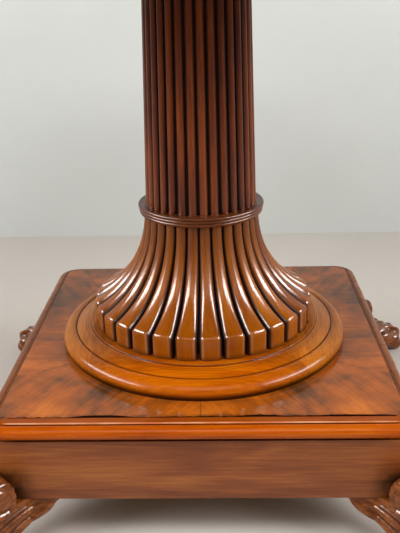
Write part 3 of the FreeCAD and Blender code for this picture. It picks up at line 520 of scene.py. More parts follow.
def moulded_side(name, border):
    """One side of the square frame, with its face towards +X."""
    top = PLATFORM_TOP
    profile = outline(
        (MOULDING_INNER, top - VENEER),
        (LIP - border, top - VENEER),
        (LIP - border, top - 0.3),
        (LIP - border + 0.3, top),
        (LIP - 1.0, top),
        (LIP, top - 1.2),
        (LIP, top - 2.6),
        (LIP + BEAD_SWELL, top - 9.7, LIP + 1.0, top - 16.8),
        (LIP - 2.0, top - 17.4),
        (LIP - 2.0, MOULDING_LOW),
        (MOULDING_INNER, MOULDING_LOW),
        fine=14,
    )
    piece = draw_closed(name, [(x * MM, -CORNER_CENTRE * MM, z * MM) for x, z in profile])
    run = (0, 2 * CORNER_CENTRE * MM, 0)
    bpy.ops.mesh.extrude_region_move(TRANSFORM_OT_translate={"value": run})
    for end in (1, -1):
        at_end = end * CORNER_CENTRE * MM
        pick(piece, lambda edge: edge.is_boundary and abs(middle(edge).y - at_end) < NEAR)
        spin(CORNER_STEPS, end * math.pi / 4, centre=(CORNER_CENTRE * MM, at_end, 0))
        bpy.ops.mesh.edge_face_add()
    return clean(piece)


mouldings = {"right": moulded_side("moulded_edge_right", SIDE_BORDER)}
for side in ("back", "left"):
    mouldings[side] = turned_copy(mouldings["right"], "moulded_edge_" + side, SIDES[side])
broad = moulded_side("broad_edge", FRONT_BORDER)
mouldings["front"] = turned_copy(broad, "moulded_edge_front", SIDES["front"])
bpy.data.objects.remove(broad)
print("mouldings:", len(mouldings), "of", len(mouldings["front"].data.polygons), "faces")

# %% [markdown]
# A frieze board is plain: its plan, with mitred ends and a little rounding at the corners, is filled and
# extruded to the board's depth. Only its lower edge, which hands and brooms touch, is softened.

# %% Frieze boards
FRIEZE_LOW = 71.5
FRIEZE_FACE = 230.5
FRIEZE_INNER = 208.5
FRIEZE_ROUNDING = 8.0
FRIEZE_SOFTENING = 0.8 * MM

bend = FRIEZE_FACE - FRIEZE_ROUNDING
tip = bend + FRIEZE_ROUNDING * math.sqrt(0.5)
through = [bend + FRIEZE_ROUNDING * part for part in (math.cos(math.pi / 8), math.sin(math.pi / 8))]
upper_half = [(FRIEZE_FACE, 0), (FRIEZE_FACE, bend)] + arc((FRIEZE_FACE, bend), through, (tip, tip), 5)
plan = upper_half + [(FRIEZE_INNER, FRIEZE_INNER), (FRIEZE_INNER, -FRIEZE_INNER)]
plan += [(x, -y) for x, y in reversed(upper_half)]
board = draw("frieze_board_right", [(x * MM, y * MM, FRIEZE_LOW * MM) for x, y in plan])
weld()
bpy.ops.mesh.edge_face_add()
lift = (0, 0, (MOULDING_LOW - FRIEZE_LOW) * MM)
bpy.ops.mesh.extrude_region_move(TRANSFORM_OT_translate={"value": lift})
pick(board, lambda edge: all(
    vert.co.z < FRIEZE_LOW * MM + NEAR and vert.co.x > (FRIEZE_INNER + 1) * MM for vert in edge.verts))
bpy.ops.mesh.bevel(offset=FRIEZE_SOFTENING, segments=2, affect="EDGES")
clean(board)
friezes = all_round(board, "frieze_board_", SIDES, "right")
print("friezes:", len(friezes), "of", len(board.data.polygons), "faces")

# %% [markdown]
# The platform's veneer is a thin sheet that goes up to the edge on three sides, and to the flat border in
# front. Old veneer shrinks, so along the front it has drawn back and left a dark, uneven crack. The rim is
# drawn once round as a chain of points, with the crack in it, and is then filled and given its thickness.

# %% Platform veneer
CRACK_PLACES = ((-108.0, 34.0, 3.8), (66.0, 30.0, 2.8), (165.0, 52.0, 2.6))
CRACK_STEPS = 190
sheet_half = LIP - SIDE_BORDER - 0.3
sheet_front = LIP - FRONT_BORDER - 0.2
sheet_bend = sheet_half - CORNER_CENTRE


def crack_depth(x):
    """How far the rim has drawn back at a place along the front, in millimetres."""
    gaping = sum(depth * max(0.0, 1 - ((x - place) / spread) ** 2) for place, spread, depth in CRACK_PLACES)
    ripple = 0.5 + 0.5 * math.sin(0.093 * x + 1.1) * math.sin(0.037 * x + 0.4)
    chips = max(0.0, math.sin(0.41 * x) * math.sin(0.23 * x + 2.0) * math.sin(0.157 * x + 0.8))
    return 0.6 + gaping + 1.1 * ripple + 1.4 * chips


def corner_arc(x_sign, y_sign, first, last):
    """Rim points round one corner, between two angles in degrees."""
    shares = [step / CORNER_STEPS for step in range(CORNER_STEPS + 1)]
    angles = [math.radians(first + (last - first) * share) for share in shares]
    return [(x_sign * CORNER_CENTRE + sheet_bend * math.cos(angle),
             y_sign * CORNER_CENTRE + sheet_bend * math.sin(angle)) for angle in angles]


front_line = [sheet_front * (2 * step / CRACK_STEPS - 1) for step in range(CRACK_STEPS + 1)]
rim = [(x, crack_depth(x) - sheet_front) for x in front_line]
rim += corner_arc(1, -1, -45, 0) + corner_arc(1, 1, 0, 90)
rim += corner_arc(-1, 1, 90, 180) + corner_arc(-1, -1, 180, 225)
sheet = draw("veneered_platform", [(x * MM, y * MM, PLATFORM_TOP * MM) for x, y in rim])
bpy.ops.mesh.select_all(action="SELECT")
bpy.ops.mesh.edge_face_add()
bpy.ops.mesh.extrude_region_move(TRANSFORM_OT_translate={"value": (0, 0, -VENEER * MM)})
clean(sheet)
print("veneer sheet:", len(sheet.data.polygons), "faces")

# %% [markdown]
# The feet are carved, and carving has no profile to spin. The CAD foot gives the outline, so a copy of it
# is the blank. Strands are laid on it as a carver leaves them standing: each is a smooth path with its own
# thickness at every point. A voxel remesh then melts blank and strands into one skin, and a little
# smoothing takes away the marks of the voxels, as sandpaper would.

# %% Strands and blanks
VOXEL = 1.5 * MM


def strand(*stations):
    """A tapering strand through stations of (x, y, z, radius) in millimetres."""
    put_down()
    bpy.ops.curve.primitive_nurbs_path_add()
    path = bpy.context.object
    path.data.splines.clear()
    spline = path.data.splines.new("NURBS")
    spline.points.add(len(stations) - 1)
    for point, (x, y, z, radius) in zip(spline.points, stations):
        point.co = (x * MM, y * MM, z * MM, 1.0)
        point.radius = radius
    spline.order_u = 3
    spline.use_endpoint_u = True
    path.data.bevel_depth = MM
    path.data.bevel_resolution = 2
    path.data.resolution_u = 4
    path.data.use_fill_caps = True
    bpy.ops.object.convert(target="MESH")
    return bpy.context.object


def blank_from(node, name, degrees=0.0):
    """A copy of a CAD solid to carve on, turned about the column's axis."""
    blank = bpy.data.objects.new(name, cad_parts[node].data.copy())
    blank.data.name = name
    bpy.context.collection.objects.link(blank)
    blank.data.transform(Matrix.Rotation(math.radians(degrees), 4, "Z"))
    return clean(blank)


def carve(blank, strands, low, high):
    """Melts the strands into the blank and trims it level at the bottom and the top."""
    put_down()
    for piece in strands + [blank]:
        piece.select_set(True)
    bpy.context.view_layer.objects.active = blank
    bpy.ops.object.join()
    apply_modifier(blank, "REMESH", mode="VOXEL", voxel_size=VOXEL)
    apply_modifier(blank, "SMOOTH", factor=0.5, iterations=3)
    take(blank)
    for level, upwards in ((low, True), (high, False)):
        bpy.ops.mesh.select_all(action="SELECT")
        bpy.ops.mesh.bisect(plane_co=(0, 0, level * MM), plane_no=(0, 0, 1), use_fill=True,
                            clear_inner=upwards, clear_outer=not upwards)
    return clean(blank, 40)


print("carving tools ready, voxels of", round(VOXEL / MM, 2), "mm")

# %% [markdown]
# One foot is carved along +X and turned to the four corners. From the inside outwards it has a fluted
# scroll that stands against the frieze, leaf strands down both flanks, locks of hair over the ankle, and
# four toes with knuckles and claws. The toes splay, and the outer ones lie further back.

# %% Strands of a foot
TOE_PLACES = (-1.5, -0.5, 0.5, 1.5)
TOE_PITCH = 25.0
TOE_SPLAY = 9.0
INNER_KNUCKLE, OUTER_KNUCKLE = 423.0, 396.0
SCROLL_MIDDLE, SCROLL_LEVEL, SCROLL_SIDE = 342.0, 93.0, 34.0
VOLUTE_STEPS, VOLUTE_START, VOLUTE_TURN = 17, -120, 33
FLANK, ANKLE = 22.5, 30.0
LOCK_PLACES = range(-26, 27, 13)
FLUTE_PLACES = range(-30, 31, 6)


def toe_strands(place):
    """The knuckled toe and the claw in front of it; places count from the middle of the paw."""
    back = INNER_KNUCKLE if abs(place) < 1 else OUTER_KNUCKLE
    swing = math.radians(TOE_SPLAY * place)

    def station(out, z, radius):
        return (back + out * math.cos(swing), place * TOE_PITCH + out * math.sin(swing), z, radius)

    toe = strand(station(-18, 27, 8), station(-8, 28, 15), station(3, 27, 15.5), station(11, 22, 7.5),
                 station(18, 19, 14), station(27, 16, 13.5), station(35, 11, 6))
    claw = strand(station(28, 11, 5.5), station(36, 9, 5), station(41, 5, 3.4), station(43, 1.5, 1.2))
    return [toe, claw]


def volute(side):
    """A spiral that winds in to the eye of the scroll, on one flank."""
    stations = []
    for step in range(VOLUTE_STEPS):
        turn = math.radians(VOLUTE_START + VOLUTE_TURN * step)
        radius = 19.0 - 0.92 * step
        stations.append((SCROLL_MIDDLE + radius * math.cos(turn), side * SCROLL_SIDE,
                         SCROLL_LEVEL + radius * math.sin(turn), 3.4 - 0.08 * step))
    return strand(*stations)


def flank_strands(side):
    """Three leaf strands that fall along one side of the leg to the ankle."""
    y = side * FLANK
    wide = side * ANKLE
    upper = strand((322, side * 25, 72, 3), (346, y, 66, 5.5), (370, y, 53, 6), (396, wide, 38, 3.5))
    main = strand((262, y, 63, 3), (296, y, 60, 5.5), (330, y, 52, 7), (362, y, 38, 7),
                  (398, wide, 25, 4))
    lower = strand((262, y, 53, 3), (292, y, 49, 5), (318, y, 42, 6.5), (338, y, 28, 6.5),
                   (356, y, 14, 6), (384, wide, 9, 4))
    return [upper, main, lower]


def lock(y):
    """A lock of hair over the ankle, which spreads and drops to the side that it lies on."""
    drop = 0.16 * abs(y)
    return strand((350, 0.7 * y, 70 - drop, 3), (366, 0.85 * y, 56 - drop, 6),
                  (388, 1.1 * y, 47 - drop, 7), (406, 1.4 * y, 42 - drop, 5.5),
                  (416, 1.6 * y, 36 - drop, 2.5))


def flute(y):
    """A ridge over the scroll, from the frieze to the front of the leg."""
    return strand((324, y, 74, 2.4), (324, y, 100, 3.2), (331, y, 112, 3.4), (342, y, 113, 3.4),
                  (357, y, 106, 3.2), (363, y, 92, 2.4))


print("toes:", len(TOE_PLACES), "locks:", len(LOCK_PLACES), "flutes:", len(FLUTE_PLACES))

# %% [markdown]
# Now the foot is carved: the strands are laid on the blank and melted into it, and the skin is trimmed level
# at the floor and at the top. One foot is enough work, so it is turned to its corner and copied to the rest.

# %% Carved feet
FOOT_TOP = 116.0
strands = []
for place in TOE_PLACES:
    strands += toe_strands(place)
for side in (-1, 1):
    strands += flank_strands(side) + [volute(side)]
strands += [lock(y) for y in LOCK_PLACES]
strands += [flute(y) for y in FLUTE_PLACES]
foot = carve(blank_from("foot_front_right", "paw_foot_front_right", 45), strands, 0.0, FOOT_TOP)
foot.data.transform(Matrix.Rotation(math.radians(CORNERS["front_right"]), 4, "Z"))
feet = all_round(foot, "paw_foot_", CORNERS, "front_right")
print("feet:", len(feet), "of", len(foot.data.polygons), "faces")

# %% [markdown]
# On both sides of a foot a leaf bracket runs out under the frieze. It is carved like the foot, from a few
# strands that start together at the tip and fan out towards the leg. The bracket on the other side is
# its mirror image in the diagonal, which turns its faces inside out, so they are pointed outwards again.

# %% Leaf brackets
LEAF_LOW = 1.0
leaf_strands = [
    strand((167, -226, 69.5, 2), (174, -227, 63, 4), (182, -228, 56, 5), (190, -229, 49.5, 5.6),
           (199, -231, 45.5, 5.6), (208, -234, 42.5, 5.2), (216, -239, 41, 4)),
    strand((172, -225, 70, 2), (184, -227, 63, 4), (196, -229, 57, 4.8), (208, -233, 53, 4.8),
           (219, -241, 50, 3.5)),
    strand((182, -225, 70, 2), (194, -227, 66, 3.8), (206, -231, 62, 4.4), (219, -240, 59, 3.5)),
    strand((193, -225, 70, 2), (206, -229, 68, 3.6), (219, -238, 66, 3.4)),
]
leaf_blank = blank_from("left_wing_front_right", "left_leaf_front_right")
left_leaf = carve(leaf_blank, leaf_strands, LEAF_LOW, FRIEZE_LOW - 0.1)
in_diagonal = Matrix(((0, -1, 0, 0), (-1, 0, 0, 0), (0, 0, 1, 0), (0, 0, 0, 1)))
right_leaf = turned_copy(left_leaf, "right_leaf_front_right", 0)
right_leaf.data.transform(in_diagonal)
clean(right_leaf, 40)
leaves = {hand: all_round(leaf, hand + "_leaf_", CORNERS, "front_right")
          for hand, leaf in (("left", left_leaf), ("right", right_leaf))}
print("leaf brackets:", 2 * len(CORNERS), "of", len(left_leaf.data.polygons), "faces")

# %% [markdown]
# The top is an ellipse with a rounded edge. A circle is stretched to the oval of the underside, and its
# rim is extruded up the edge's profile one row at a time. Each row is stretched to its own length and
# width, so the rounding keeps its size all the way round.

# %% Oval top
TOP_HALF_LENGTH, TOP_HALF_WIDTH = 600.0, 450.0
TOP_LOW, TOP_HIGH = 711.0, 735.0
TOP_VENEER = 1.2
OVAL_STEPS = 200


def oval_stack(name, rows):
    """A solid through ovals of (inset, height) in millimetres, closed below and above."""
    put_down()
    inset, z = rows[0]
    bpy.ops.mesh.primitive_circle_add(
        vertices=OVAL_STEPS, radius=1, fill_type="NGON", location=(0, 0, z * MM))
    piece = bpy.context.object
    piece.name = piece.data.name = name
    bpy.ops.object.transform_apply(location=True, rotation=True, scale=True)
    bpy.ops.object.mode_set(mode="EDIT")
    bpy.ops.mesh.select_all(action="SELECT")
    length, width = TOP_HALF_LENGTH - inset, TOP_HALF_WIDTH - inset
    bpy.ops.transform.resize(value=(length * MM, width * MM, 1), center_override=(0, 0, 0))
    for inset, next_z in rows[1:]:
        pick(piece, lambda edge: edge.is_boundary and abs(middle(edge).z - z * MM) < NEAR)
        step = {"value": (0, 0, (next_z - z) * MM)}
        bpy.ops.mesh.extrude_edges_move(TRANSFORM_OT_translate=step)
        stretch = ((TOP_HALF_LENGTH - inset) / length, (TOP_HALF_WIDTH - inset) / width, 1)
        bpy.ops.transform.resize(value=stretch, center_override=(0, 0, 0))
        length, width, z = TOP_HALF_LENGTH - inset, TOP_HALF_WIDTH - inset, next_z
    bpy.ops.mesh.edge_face_add()
    return clean(piece)


board_high = TOP_HIGH - TOP_VENEER
top_board = oval_stack("oval_board", outline(
    (13.0, TOP_LOW),
    (3.8, TOP_LOW + 3.8, 0, TOP_LOW + 13.0),
    (0, board_high - 4.0),
    (1.2, board_high - 1.2, 4.0, board_high),
    fine=7,
))
top_sheet = oval_stack("oval_veneer", [(4.5, board_high), (4.5, TOP_HIGH - 0.4), (4.9, TOP_HIGH)])
print("top:", len(top_board.data.polygons), "and", len(top_sheet.data.polygons), "faces")

# %% [markdown]
# A finish is a small machine of shader nodes. Wiring them one by one is hard to read, so a value from a
# node is wrapped in a class whose plus, minus and times add the Math nodes: a formula on paper then
# looks the same in the code.

# %% Shader formulas
class Value:
    """A number that varies over a surface, as the output of a shader node."""

    def __init__(self, finish, socket):
        self.finish, self.socket = finish, socket

    def maths(self, operation, first, second=0.0):
        return self.finish.node("ShaderNodeMath", {"operation": operation}, {0: first, 1: second})

    def __add__(self, other):
        return self.maths("ADD", self, other)

    def __radd__(self, other):
        return self.maths("ADD", other, self)

    def __sub__(self, other):
        return self.maths("SUBTRACT", self, other)

    def __rsub__(self, other):
        return self.maths("SUBTRACT", other, self)

    def __mul__(self, other):
        return self.maths("MULTIPLY", self, other)

    def __rmul__(self, other):
        return self.maths("MULTIPLY", other, self)

    def __truediv__(self, other):
        return self.maths("DIVIDE", self, other)

    def __pow__(self, other):
        return self.maths("POWER", self, other)

    def __mod__(self, other):
        return self.maths("FLOORED_MODULO", self, other)

    def __abs__(self):
        return self.maths("ABSOLUTE", self)

    def floor(self):
        return self.maths("FLOOR", self)

    def angle_from(self, other):
        return self.maths("ARCTAN2", self, other)

    def or_more(self, other):
        return self.maths("MAXIMUM", self, other)

    def between(self, low, high):
        """0 below low, 1 above high, smooth in between; low may be the larger one."""
        return self.finish.node("ShaderNodeMapRange", {"interpolation_type": "SMOOTHSTEP"},
                                {0: self, 1: low, 2: high, 3: 0.0, 4: 1.0})

    def between_mm(self, low, high):
        """The same for a length, with low and high in millimetres."""
        return self.between(low * MM, high * MM)


print("formulas ready")

# %% [markdown]
# Every other node comes from one method, which takes the kind of node, its settings and its inputs. The
# other methods are short names for what every finish needs: noise, a mixture, a ramp of colours, and the
# surface itself.

# %% Finishes
class Finish:
    """A material under construction, or a world, which is wired in the same way."""

    def __init__(self, name, world=None):
        self.material = world or bpy.data.materials.new(name)
        self.material.use_nodes = True
        self.tree = self.material.node_tree
        self.tree.nodes.clear()
        here = self.node("ShaderNodeTexCoord", output="Object")
        self.x, self.y, self.z = (self.node("ShaderNodeSeparateXYZ", {}, {0: here}, axis) for axis in "XYZ")

    def node(self, kind, settings=None, inputs=None, output=0):
        node = self.tree.nodes.new(kind)
        for name, value in (settings or {}).items():
            if name == "stops":
                while len(node.color_ramp.elements) < len(value):
                    node.color_ramp.elements.new(1.0)
                for element, (position, colour) in zip(node.color_ramp.elements, value):
                    element.position, element.color = position, colour
            else:
                setattr(node, name, value)
        for name, value in (inputs or {}).items():
            if isinstance(value, Value):
                self.tree.links.new(value.socket, node.inputs[name])
            else:
                node.inputs[name].default_value = value
        return Value(self, node.outputs[output]) if len(node.outputs) else None

    def noise(self, x, y, z, detail=3.0, roughness=0.55, distortion=0.0):
        place = self.node("ShaderNodeCombineXYZ", {}, {0: x, 1: y, 2: z})
        return self.node("ShaderNodeTexNoise", {}, {
            "Vector": place, "Scale": 1.0, "Detail": detail, "Roughness": roughness,
            "Distortion": distortion})

    def cloud(self, scale, detail=3.0, roughness=0.55):
        """Noise that is alike in all directions."""
        return self.noise(self.x * scale, self.y * scale, self.z * scale, detail, roughness)

    def mix(self, share, first, second, blend="MIX"):
        settings = {"data_type": "RGBA", "blend_type": blend}
        return self.node("ShaderNodeMix", settings, {0: share, 6: first, 7: second}, 2)

    def ramp(self, tone, places, colours):
        return self.node("ShaderNodeValToRGB", {"stops": list(zip(places, colours))}, {0: tone})

    def shell(self, colour, roughness, height, depth, **fixed):
        """The surface itself. What is the same all over is set on the shader's own sockets."""
        bump = self.node("ShaderNodeBump", {}, {"Strength": 1.0, "Distance": depth, "Height": height})
        inputs = {"Base Color": colour, "Roughness": roughness, "Normal": bump}
        inputs.update({name.replace("_", " "): value for name, value in fixed.items()})
        shader = self.node("ShaderNodeBsdfPrincipled", {}, inputs)
        self.node("ShaderNodeOutputMaterial", {}, {"Surface": shader})
        return self.material


def srgb(red, green, blue):
    """A colour written as on a paint card, 0 to 255, in the linear numbers that shaders use."""
    linear = [(part / 255 / 12.92) if part <= 10 else ((part / 255 + 0.055) / 1.055) ** 2.4
              for part in (red, green, blue)]
    return (*linear, 1.0)


def tones_of(*cards):
    """The tones of a wood, from dark to light."""
    return tuple(srgb(*card) for card in cards)


print("finishes ready")

# %% [markdown]
# All the show wood is polished mahogany, but no two parts of it are alike: the column is dark, the ribs
# and the plinth are golden, the frieze is plain and reddish. One recipe serves for all. Along the grain
# the pattern is drawn out, across it it is fine: broad bands of tone, narrow streaks, and short dark
# pores which are also a hair's breadth deep. Shellac over it is the coat of the shader.

# %% Polished wood
BANDS, STREAKS, FLECKS = (5, 26), (14, 330), (90, 2100)
STREAK_SHARE = 0.38
TONE_PLACES = (0.30, 0.50, 0.70)
SMEARS = 17
# Painted shade: this dark colour is mixed in wherever a finish paints shade.
SHADE_PAINT = srgb(24, 9, 4)
# Painted highlight: this pale colour is mixed in on rounded edges, where it stands for a gleam.
HIGHLIGHT_PAINT = srgb(226, 176, 136)
PORE_DEPTH = 0.06 * MM


def polished_wood(name, tones, grain, seed, streak=1.0, gloss=0.3, coat=0.05, coat_roughness=0.12,
                  shine=0.35, shade=None, painted_highlight=None, dull=None, faded=None, shade_and_stain=SHADE_PAINT, pores=0.45):
    """Tones are dark, middle and light. grain gives lengths along, across and into the wood.

    shade says where a dark colour is mixed in, which is painted shade in hollows, slots and grooves, and on
    the top's underside the brown of unpolished wood. Another mask says where a highlight is painted on
    rounded edges, and dull where the polish has gone matt. A second set of tones comes with a function for
    where the wood has them.
    """
    finish = Finish(name)
    along, across, into = grain(finish)
    along = along + seed

    def drawn_out(waves, *settings):
        return finish.noise(along * waves[0], across * waves[1], into * waves[1], *settings)

    bands = drawn_out(BANDS, 3.0, 0.55, 0.6)
    streaks = drawn_out(STREAKS, 4.0, 0.6)
    flecks = drawn_out(FLECKS, 2.0, 0.5)
    tone = bands * (1 - STREAK_SHARE) + (streaks * streak + 0.5 * (1 - streak)) * STREAK_SHARE
    colour = finish.ramp(tone, TONE_PLACES, tones)
    if faded is not None:
        faded_tones, where = faded
        colour = finish.mix(where(finish), colour, finish.ramp(tone, TONE_PLACES, faded_tones))
    pore = flecks.between(0.62, 0.72) * streaks.between(0.35, 0.6) * pores
    colour = finish.mix(pore, colour, tones[0], "MULTIPLY")
    # Here the dark colour goes in, which is painted shade on most pieces and plain brown on the top's
    # underside, and then the painted highlight.
    if shade is not None:
        colour = finish.mix(shade(finish), colour, shade_and_stain)
    if painted_highlight is not None:
        colour = finish.mix(painted_highlight(finish), colour, HIGHLIGHT_PAINT)
    smears = finish.noise(finish.x * SMEARS + seed, finish.y * SMEARS, finish.z * SMEARS, 3.0)
    rough = gloss - 0.05 + smears * 0.12 + pore * 0.25
    if dull is not None:
        rough = rough + dull(finish)
    return finish.shell(colour, rough, streaks * 0.4 - pore, PORE_DEPTH, Coat_Weight=coat,
                        Coat_Roughness=coat_roughness, Specular_IOR_Level=shine)


def grain_x(finish):
    return finish.x, finish.y, finish.z


def grain_y(finish):
    return finish.y, finish.x, finish.z


def grain_z(finish):
    return finish.z, finish.x, finish.y


GRAINS = {"x": grain_x, "y": grain_y}


def both_ways(name, tones, seed, **looks):
    """One wood with its grain along x and along y."""
    return {axis: polished_wood(name + "_" + axis, tones, grain, seed, **looks)
            for axis, grain in GRAINS.items()}


print("wood recipe ready")

# %% [markdown]
# Age shows where hands and dusters don't reach: there the polish has gone matt. On the column and the flare
# these places follow the shape, so they are worked out from it: how deep a point lies between the reeds,
# and how far it is from the middle of its rib. There the wood is also painted dark as shade. The upper
# column is painted darker as the shadow of the top, and the upright edges of the blocks get a painted
# highlight.

# %% Column, collar and flare
def reach(finish):
    """The distance from the column's axis."""
    return (finish.x * finish.x + finish.y * finish.y) ** 0.5


def bearing(finish):
    """The angle round the column, from the front towards +X."""
    return finish.x.angle_from(0.0 - finish.y)


def grain_rib(finish):
    """Along the rib as it falls and spreads, and across it by the angle round the column."""
    return finish.z - reach(finish), bearing(finish) * 0.09, reach(finish) * 0.2


def reed_depth(finish):
    """How deep a point lies below the crowns of the reeds, on the tapered shaft."""
    taper = (SHAFT_RADIUS - SHAFT_TOP_RADIUS) / (SHAFT_HIGH - SHAFT_LOW)
    return SHAFT_RADIUS * MM - (finish.z - SHAFT_LOW * MM) * taper - reach(finish)


def column_shade(finish):
    """Painted shade in the fillets between the reeds, and a painted shadow of the top that darkens the
    column upwards.
    """
    fillets = reed_depth(finish).between_mm(0.8, 4.5)
    upwards = finish.z.between_mm(420, 600)
    return 1.0 - (1.0 - fillets * 0.97) * (1.0 - upwards * 0.43)


def column_dull(finish):
    """No duster reaches the fillets, so they are matt."""
    return reed_depth(finish).between_mm(2.0, 4.5) * 0.6


def off_rib(finish):
    """The angle from the middle of the nearest rib in degrees, the same to both sides."""
    turn = bearing(finish) - rib_middle + rib_pitch / 2
    return abs(turn % rib_pitch - rib_pitch / 2) * math.degrees(1)


def slot_shade(finish):
    """Painted shade in the slots, on the sides of the ribs and at the foot of the blocks, and the ribs are
    darker towards the collar.
    """
    sides = off_rib(finish).between(2.9, 5.2)
    foot = finish.z.between_mm(PLINTH_TOP + 9.0, PLINTH_TOP)
    neck = finish.z.between_mm(260, 345)
    return (sides * sides * 0.95).or_more(neck * 0.45).or_more(foot * 0.6)


def slot_dull(finish):
    """The polish is matt down in the slots, and towards the collar where no duster reaches."""
    return off_rib(finish).between(4.5, 5.3) * 0.4 + finish.z.between_mm(250, 320) * 0.16


def rib_edge_highlight(finish):
    """A highlight is painted on the rounded upright edges of the blocks, broken up by noise."""
    edge = abs(off_rib(finish) - 3.9).between(0.9, 0.2)
    from_foot = finish.z.between_mm(PLINTH_TOP, PLINTH_TOP + 8.0)
    upright = from_foot * finish.z.between_mm(arris + 0.5, arris - 3.5)
    rubbed = finish.noise(finish.x * 40, finish.y * 40, finish.z * 12, 2.0).between(0.3, 0.65)
    return edge * upright * rubbed * 0.28


column_wood = polished_wood("column_polish", tones_of((68, 24, 2), (120, 50, 4), (158, 76, 8)), grain_z, 1.3,
                            shine=0.3, shade=column_shade, dull=column_dull)
collar_wood = polished_wood("collar_polish", tones_of((50, 19, 2), (94, 43, 6), (130, 66, 12)), grain_x, 2.3,
                            coat=0.06, shine=0.24)
# The ribs' painted shade takes this dark brown, and the upright edges of their blocks get a painted
# highlight.
rib_wood = polished_wood("rib_polish", tones_of((116, 50, 2), (158, 83, 6), (184, 105, 14)), grain_rib, 3.1,
                         streak=0.7, gloss=0.2, coat_roughness=0.1, shine=0.22, shade=slot_shade,
                         painted_highlight=rib_edge_highlight, dull=slot_dull, shade_and_stain=srgb(34, 13, 5))
print("finishes:", column_wood.name, collar_wood.name, rib_wood.name)

# %% [markdown]
# On the plinth, the edge and the frieze painted shade lies in lines: in turned grooves, in quirks, under the
# bead and in the crack beside the veneer. The lower corners of the boards carry a painted shadow and
# reflection of the feet. A highlight is painted on the front arris, and the flat behind it is matt. The
# front of the plinth has red tones, and round its sides honey ones.

# %% Plinth, edge and frieze
PLINTH_TONES = tones_of((136, 60, 0), (188, 91, 0), (211, 116, 8))
HONEY_TONES = tones_of((124, 66, 6), (176, 98, 12), (200, 124, 32))
EDGE_TONES = tones_of((132, 50, 0), (180, 80, 2), (196, 100, 8))
BROWN_TONES = tones_of((92, 44, 12), (136, 72, 26), (162, 92, 40))
FRIEZE_TONES = tones_of((98, 44, 18), (138, 74, 34), (174, 104, 46))


def plinth_shade(finish):
    """Painted shade in the groove and at the plinth's foot, and fine dark turned lines beside the ribs."""
    def ring(radius, width):
        return abs(reach(finish) - radius * MM).between_mm(width, 0.3 * width)

    lines = ring(FILLET_RADIUS + 1.0, 1.2)
    lines = lines.or_more(ring(FILLET_RADIUS + 4.6, 0.8)).or_more(ring(FILLET_RADIUS + 7.4, 0.7))
    foot = finish.z.between_mm(PLATFORM_TOP + 11.0, PLATFORM_TOP + 3.0)
    return (foot * 0.9).or_more(ring(GROOVE_RADIUS - 0.2, 1.6) * 0.55).or_more(lines * 0.5)


def plinth_faded(finish):
    """The front of the plinth keeps the red tones, and round the sides it takes the honey tones."""
    return abs(bearing(finish)).between(math.radians(18), math.radians(68))


def edge_shade(finish):
    """Painted shade in the quirk between arris and bead, under the bead and in the crack by the veneer, a
    dark line behind the arris, and a darker flat border.
    """
    below = PLATFORM_TOP * MM - finish.z
    behind = LIP * MM - abs(finish.x).or_more(abs(finish.y))
    on_top = below.between_mm(0.3, 0.1)
    quirk = abs(behind + 0.5 * MM).between_mm(1.3, 0.6) * below.between_mm(1.2, 2.0)
    under = below.between_mm(15.6, 16.8)
    line = abs(behind - 2.2 * MM).between_mm(1.2, 0.5) * on_top
    crack = behind.between_mm(2.3, 2.6) * below.between_mm(0.2, 0.6)
    flat = behind.between_mm(1.0, 1.4) * on_top
    hollows = (quirk * 0.8).or_more(under * 0.4).or_more(crack * 0.98)
    return hollows.or_more(line * 0.4).or_more(flat * 0.38)


def arris_highlight(finish):
    """A highlight is painted along the front arris, stronger in some places than in others."""
    below = PLATFORM_TOP * MM - finish.z
    behind = LIP * MM + finish.y
    facet = behind.between_mm(1.2, 0.9) * behind.between_mm(-0.3, 0.0) * below.between_mm(1.6, 1.2)
    rubbed = finish.noise(finish.x * 16, finish.y * 16, 2.0, 4.0).between(0.38, 0.62)
    return facet * (0.12 + rubbed * 0.5)


def edge_dull(finish):
    """The flat top of the moulding has been rubbed matt."""
    return finish.z.between_mm(PLATFORM_TOP - 0.3, PLATFORM_TOP) * 0.2


def frieze_shade(finish):
    """Painted shadow and reflection of the feet on the lower corners of the boards, in blotches."""
    corner = (abs(finish.x) + abs(finish.y)).between_mm(412, 444)
    low = finish.z.between_mm(122, 94)
    return corner * low * (0.4 + finish.cloud(60, 4.0).between(0.3, 0.6) * 0.55)


def run_of(side):
    """The direction in which a side of the square runs."""
    return "x" if side in ("front", "back") else "y"


plinth_wood = both_ways("plinth_polish", PLINTH_TONES, 4.7, streak=1.3, gloss=0.24, coat=0.04, shine=0.14,
                        shade=plinth_shade, faded=(HONEY_TONES, plinth_faded))
edge_wood = {}
for side in SIDES:
    edge_wood[side] = polished_wood(
        "edge_polish_" + side, EDGE_TONES if side == "front" else BROWN_TONES, GRAINS[run_of(side)], 5.9,
        streak=1.5, gloss=0.26, coat=0.06, shine=0.15, shade=edge_shade, painted_highlight=arris_highlight, dull=edge_dull)
frieze_wood = both_ways("frieze_polish", FRIEZE_TONES, 6.5, streak=1.2, gloss=0.42, shine=0.3,
                        shade=frieze_shade)
print("finishes of the base:", len(plinth_wood) + len(edge_wood) + len(frieze_wood))

# %% [markdown]
# The edge of the top has the front moulding's wood under a fresher coat, and its underside was never
# polished. The block and the bearers are plain mahogany, and what nobody sees is pine.

# %% Top edge, block and pine
PLAIN_TONES = tones_of((70, 34, 18), (98, 52, 28), (118, 66, 38))
PINE_TONES = tones_of((140, 108, 66), (170, 136, 88), (188, 156, 106))


def underside_shade(finish):
    """The underside of the top has gone brown."""
    return finish.z.between_mm(TOP_LOW + 4.0, TOP_LOW + 0.5) * 0.5


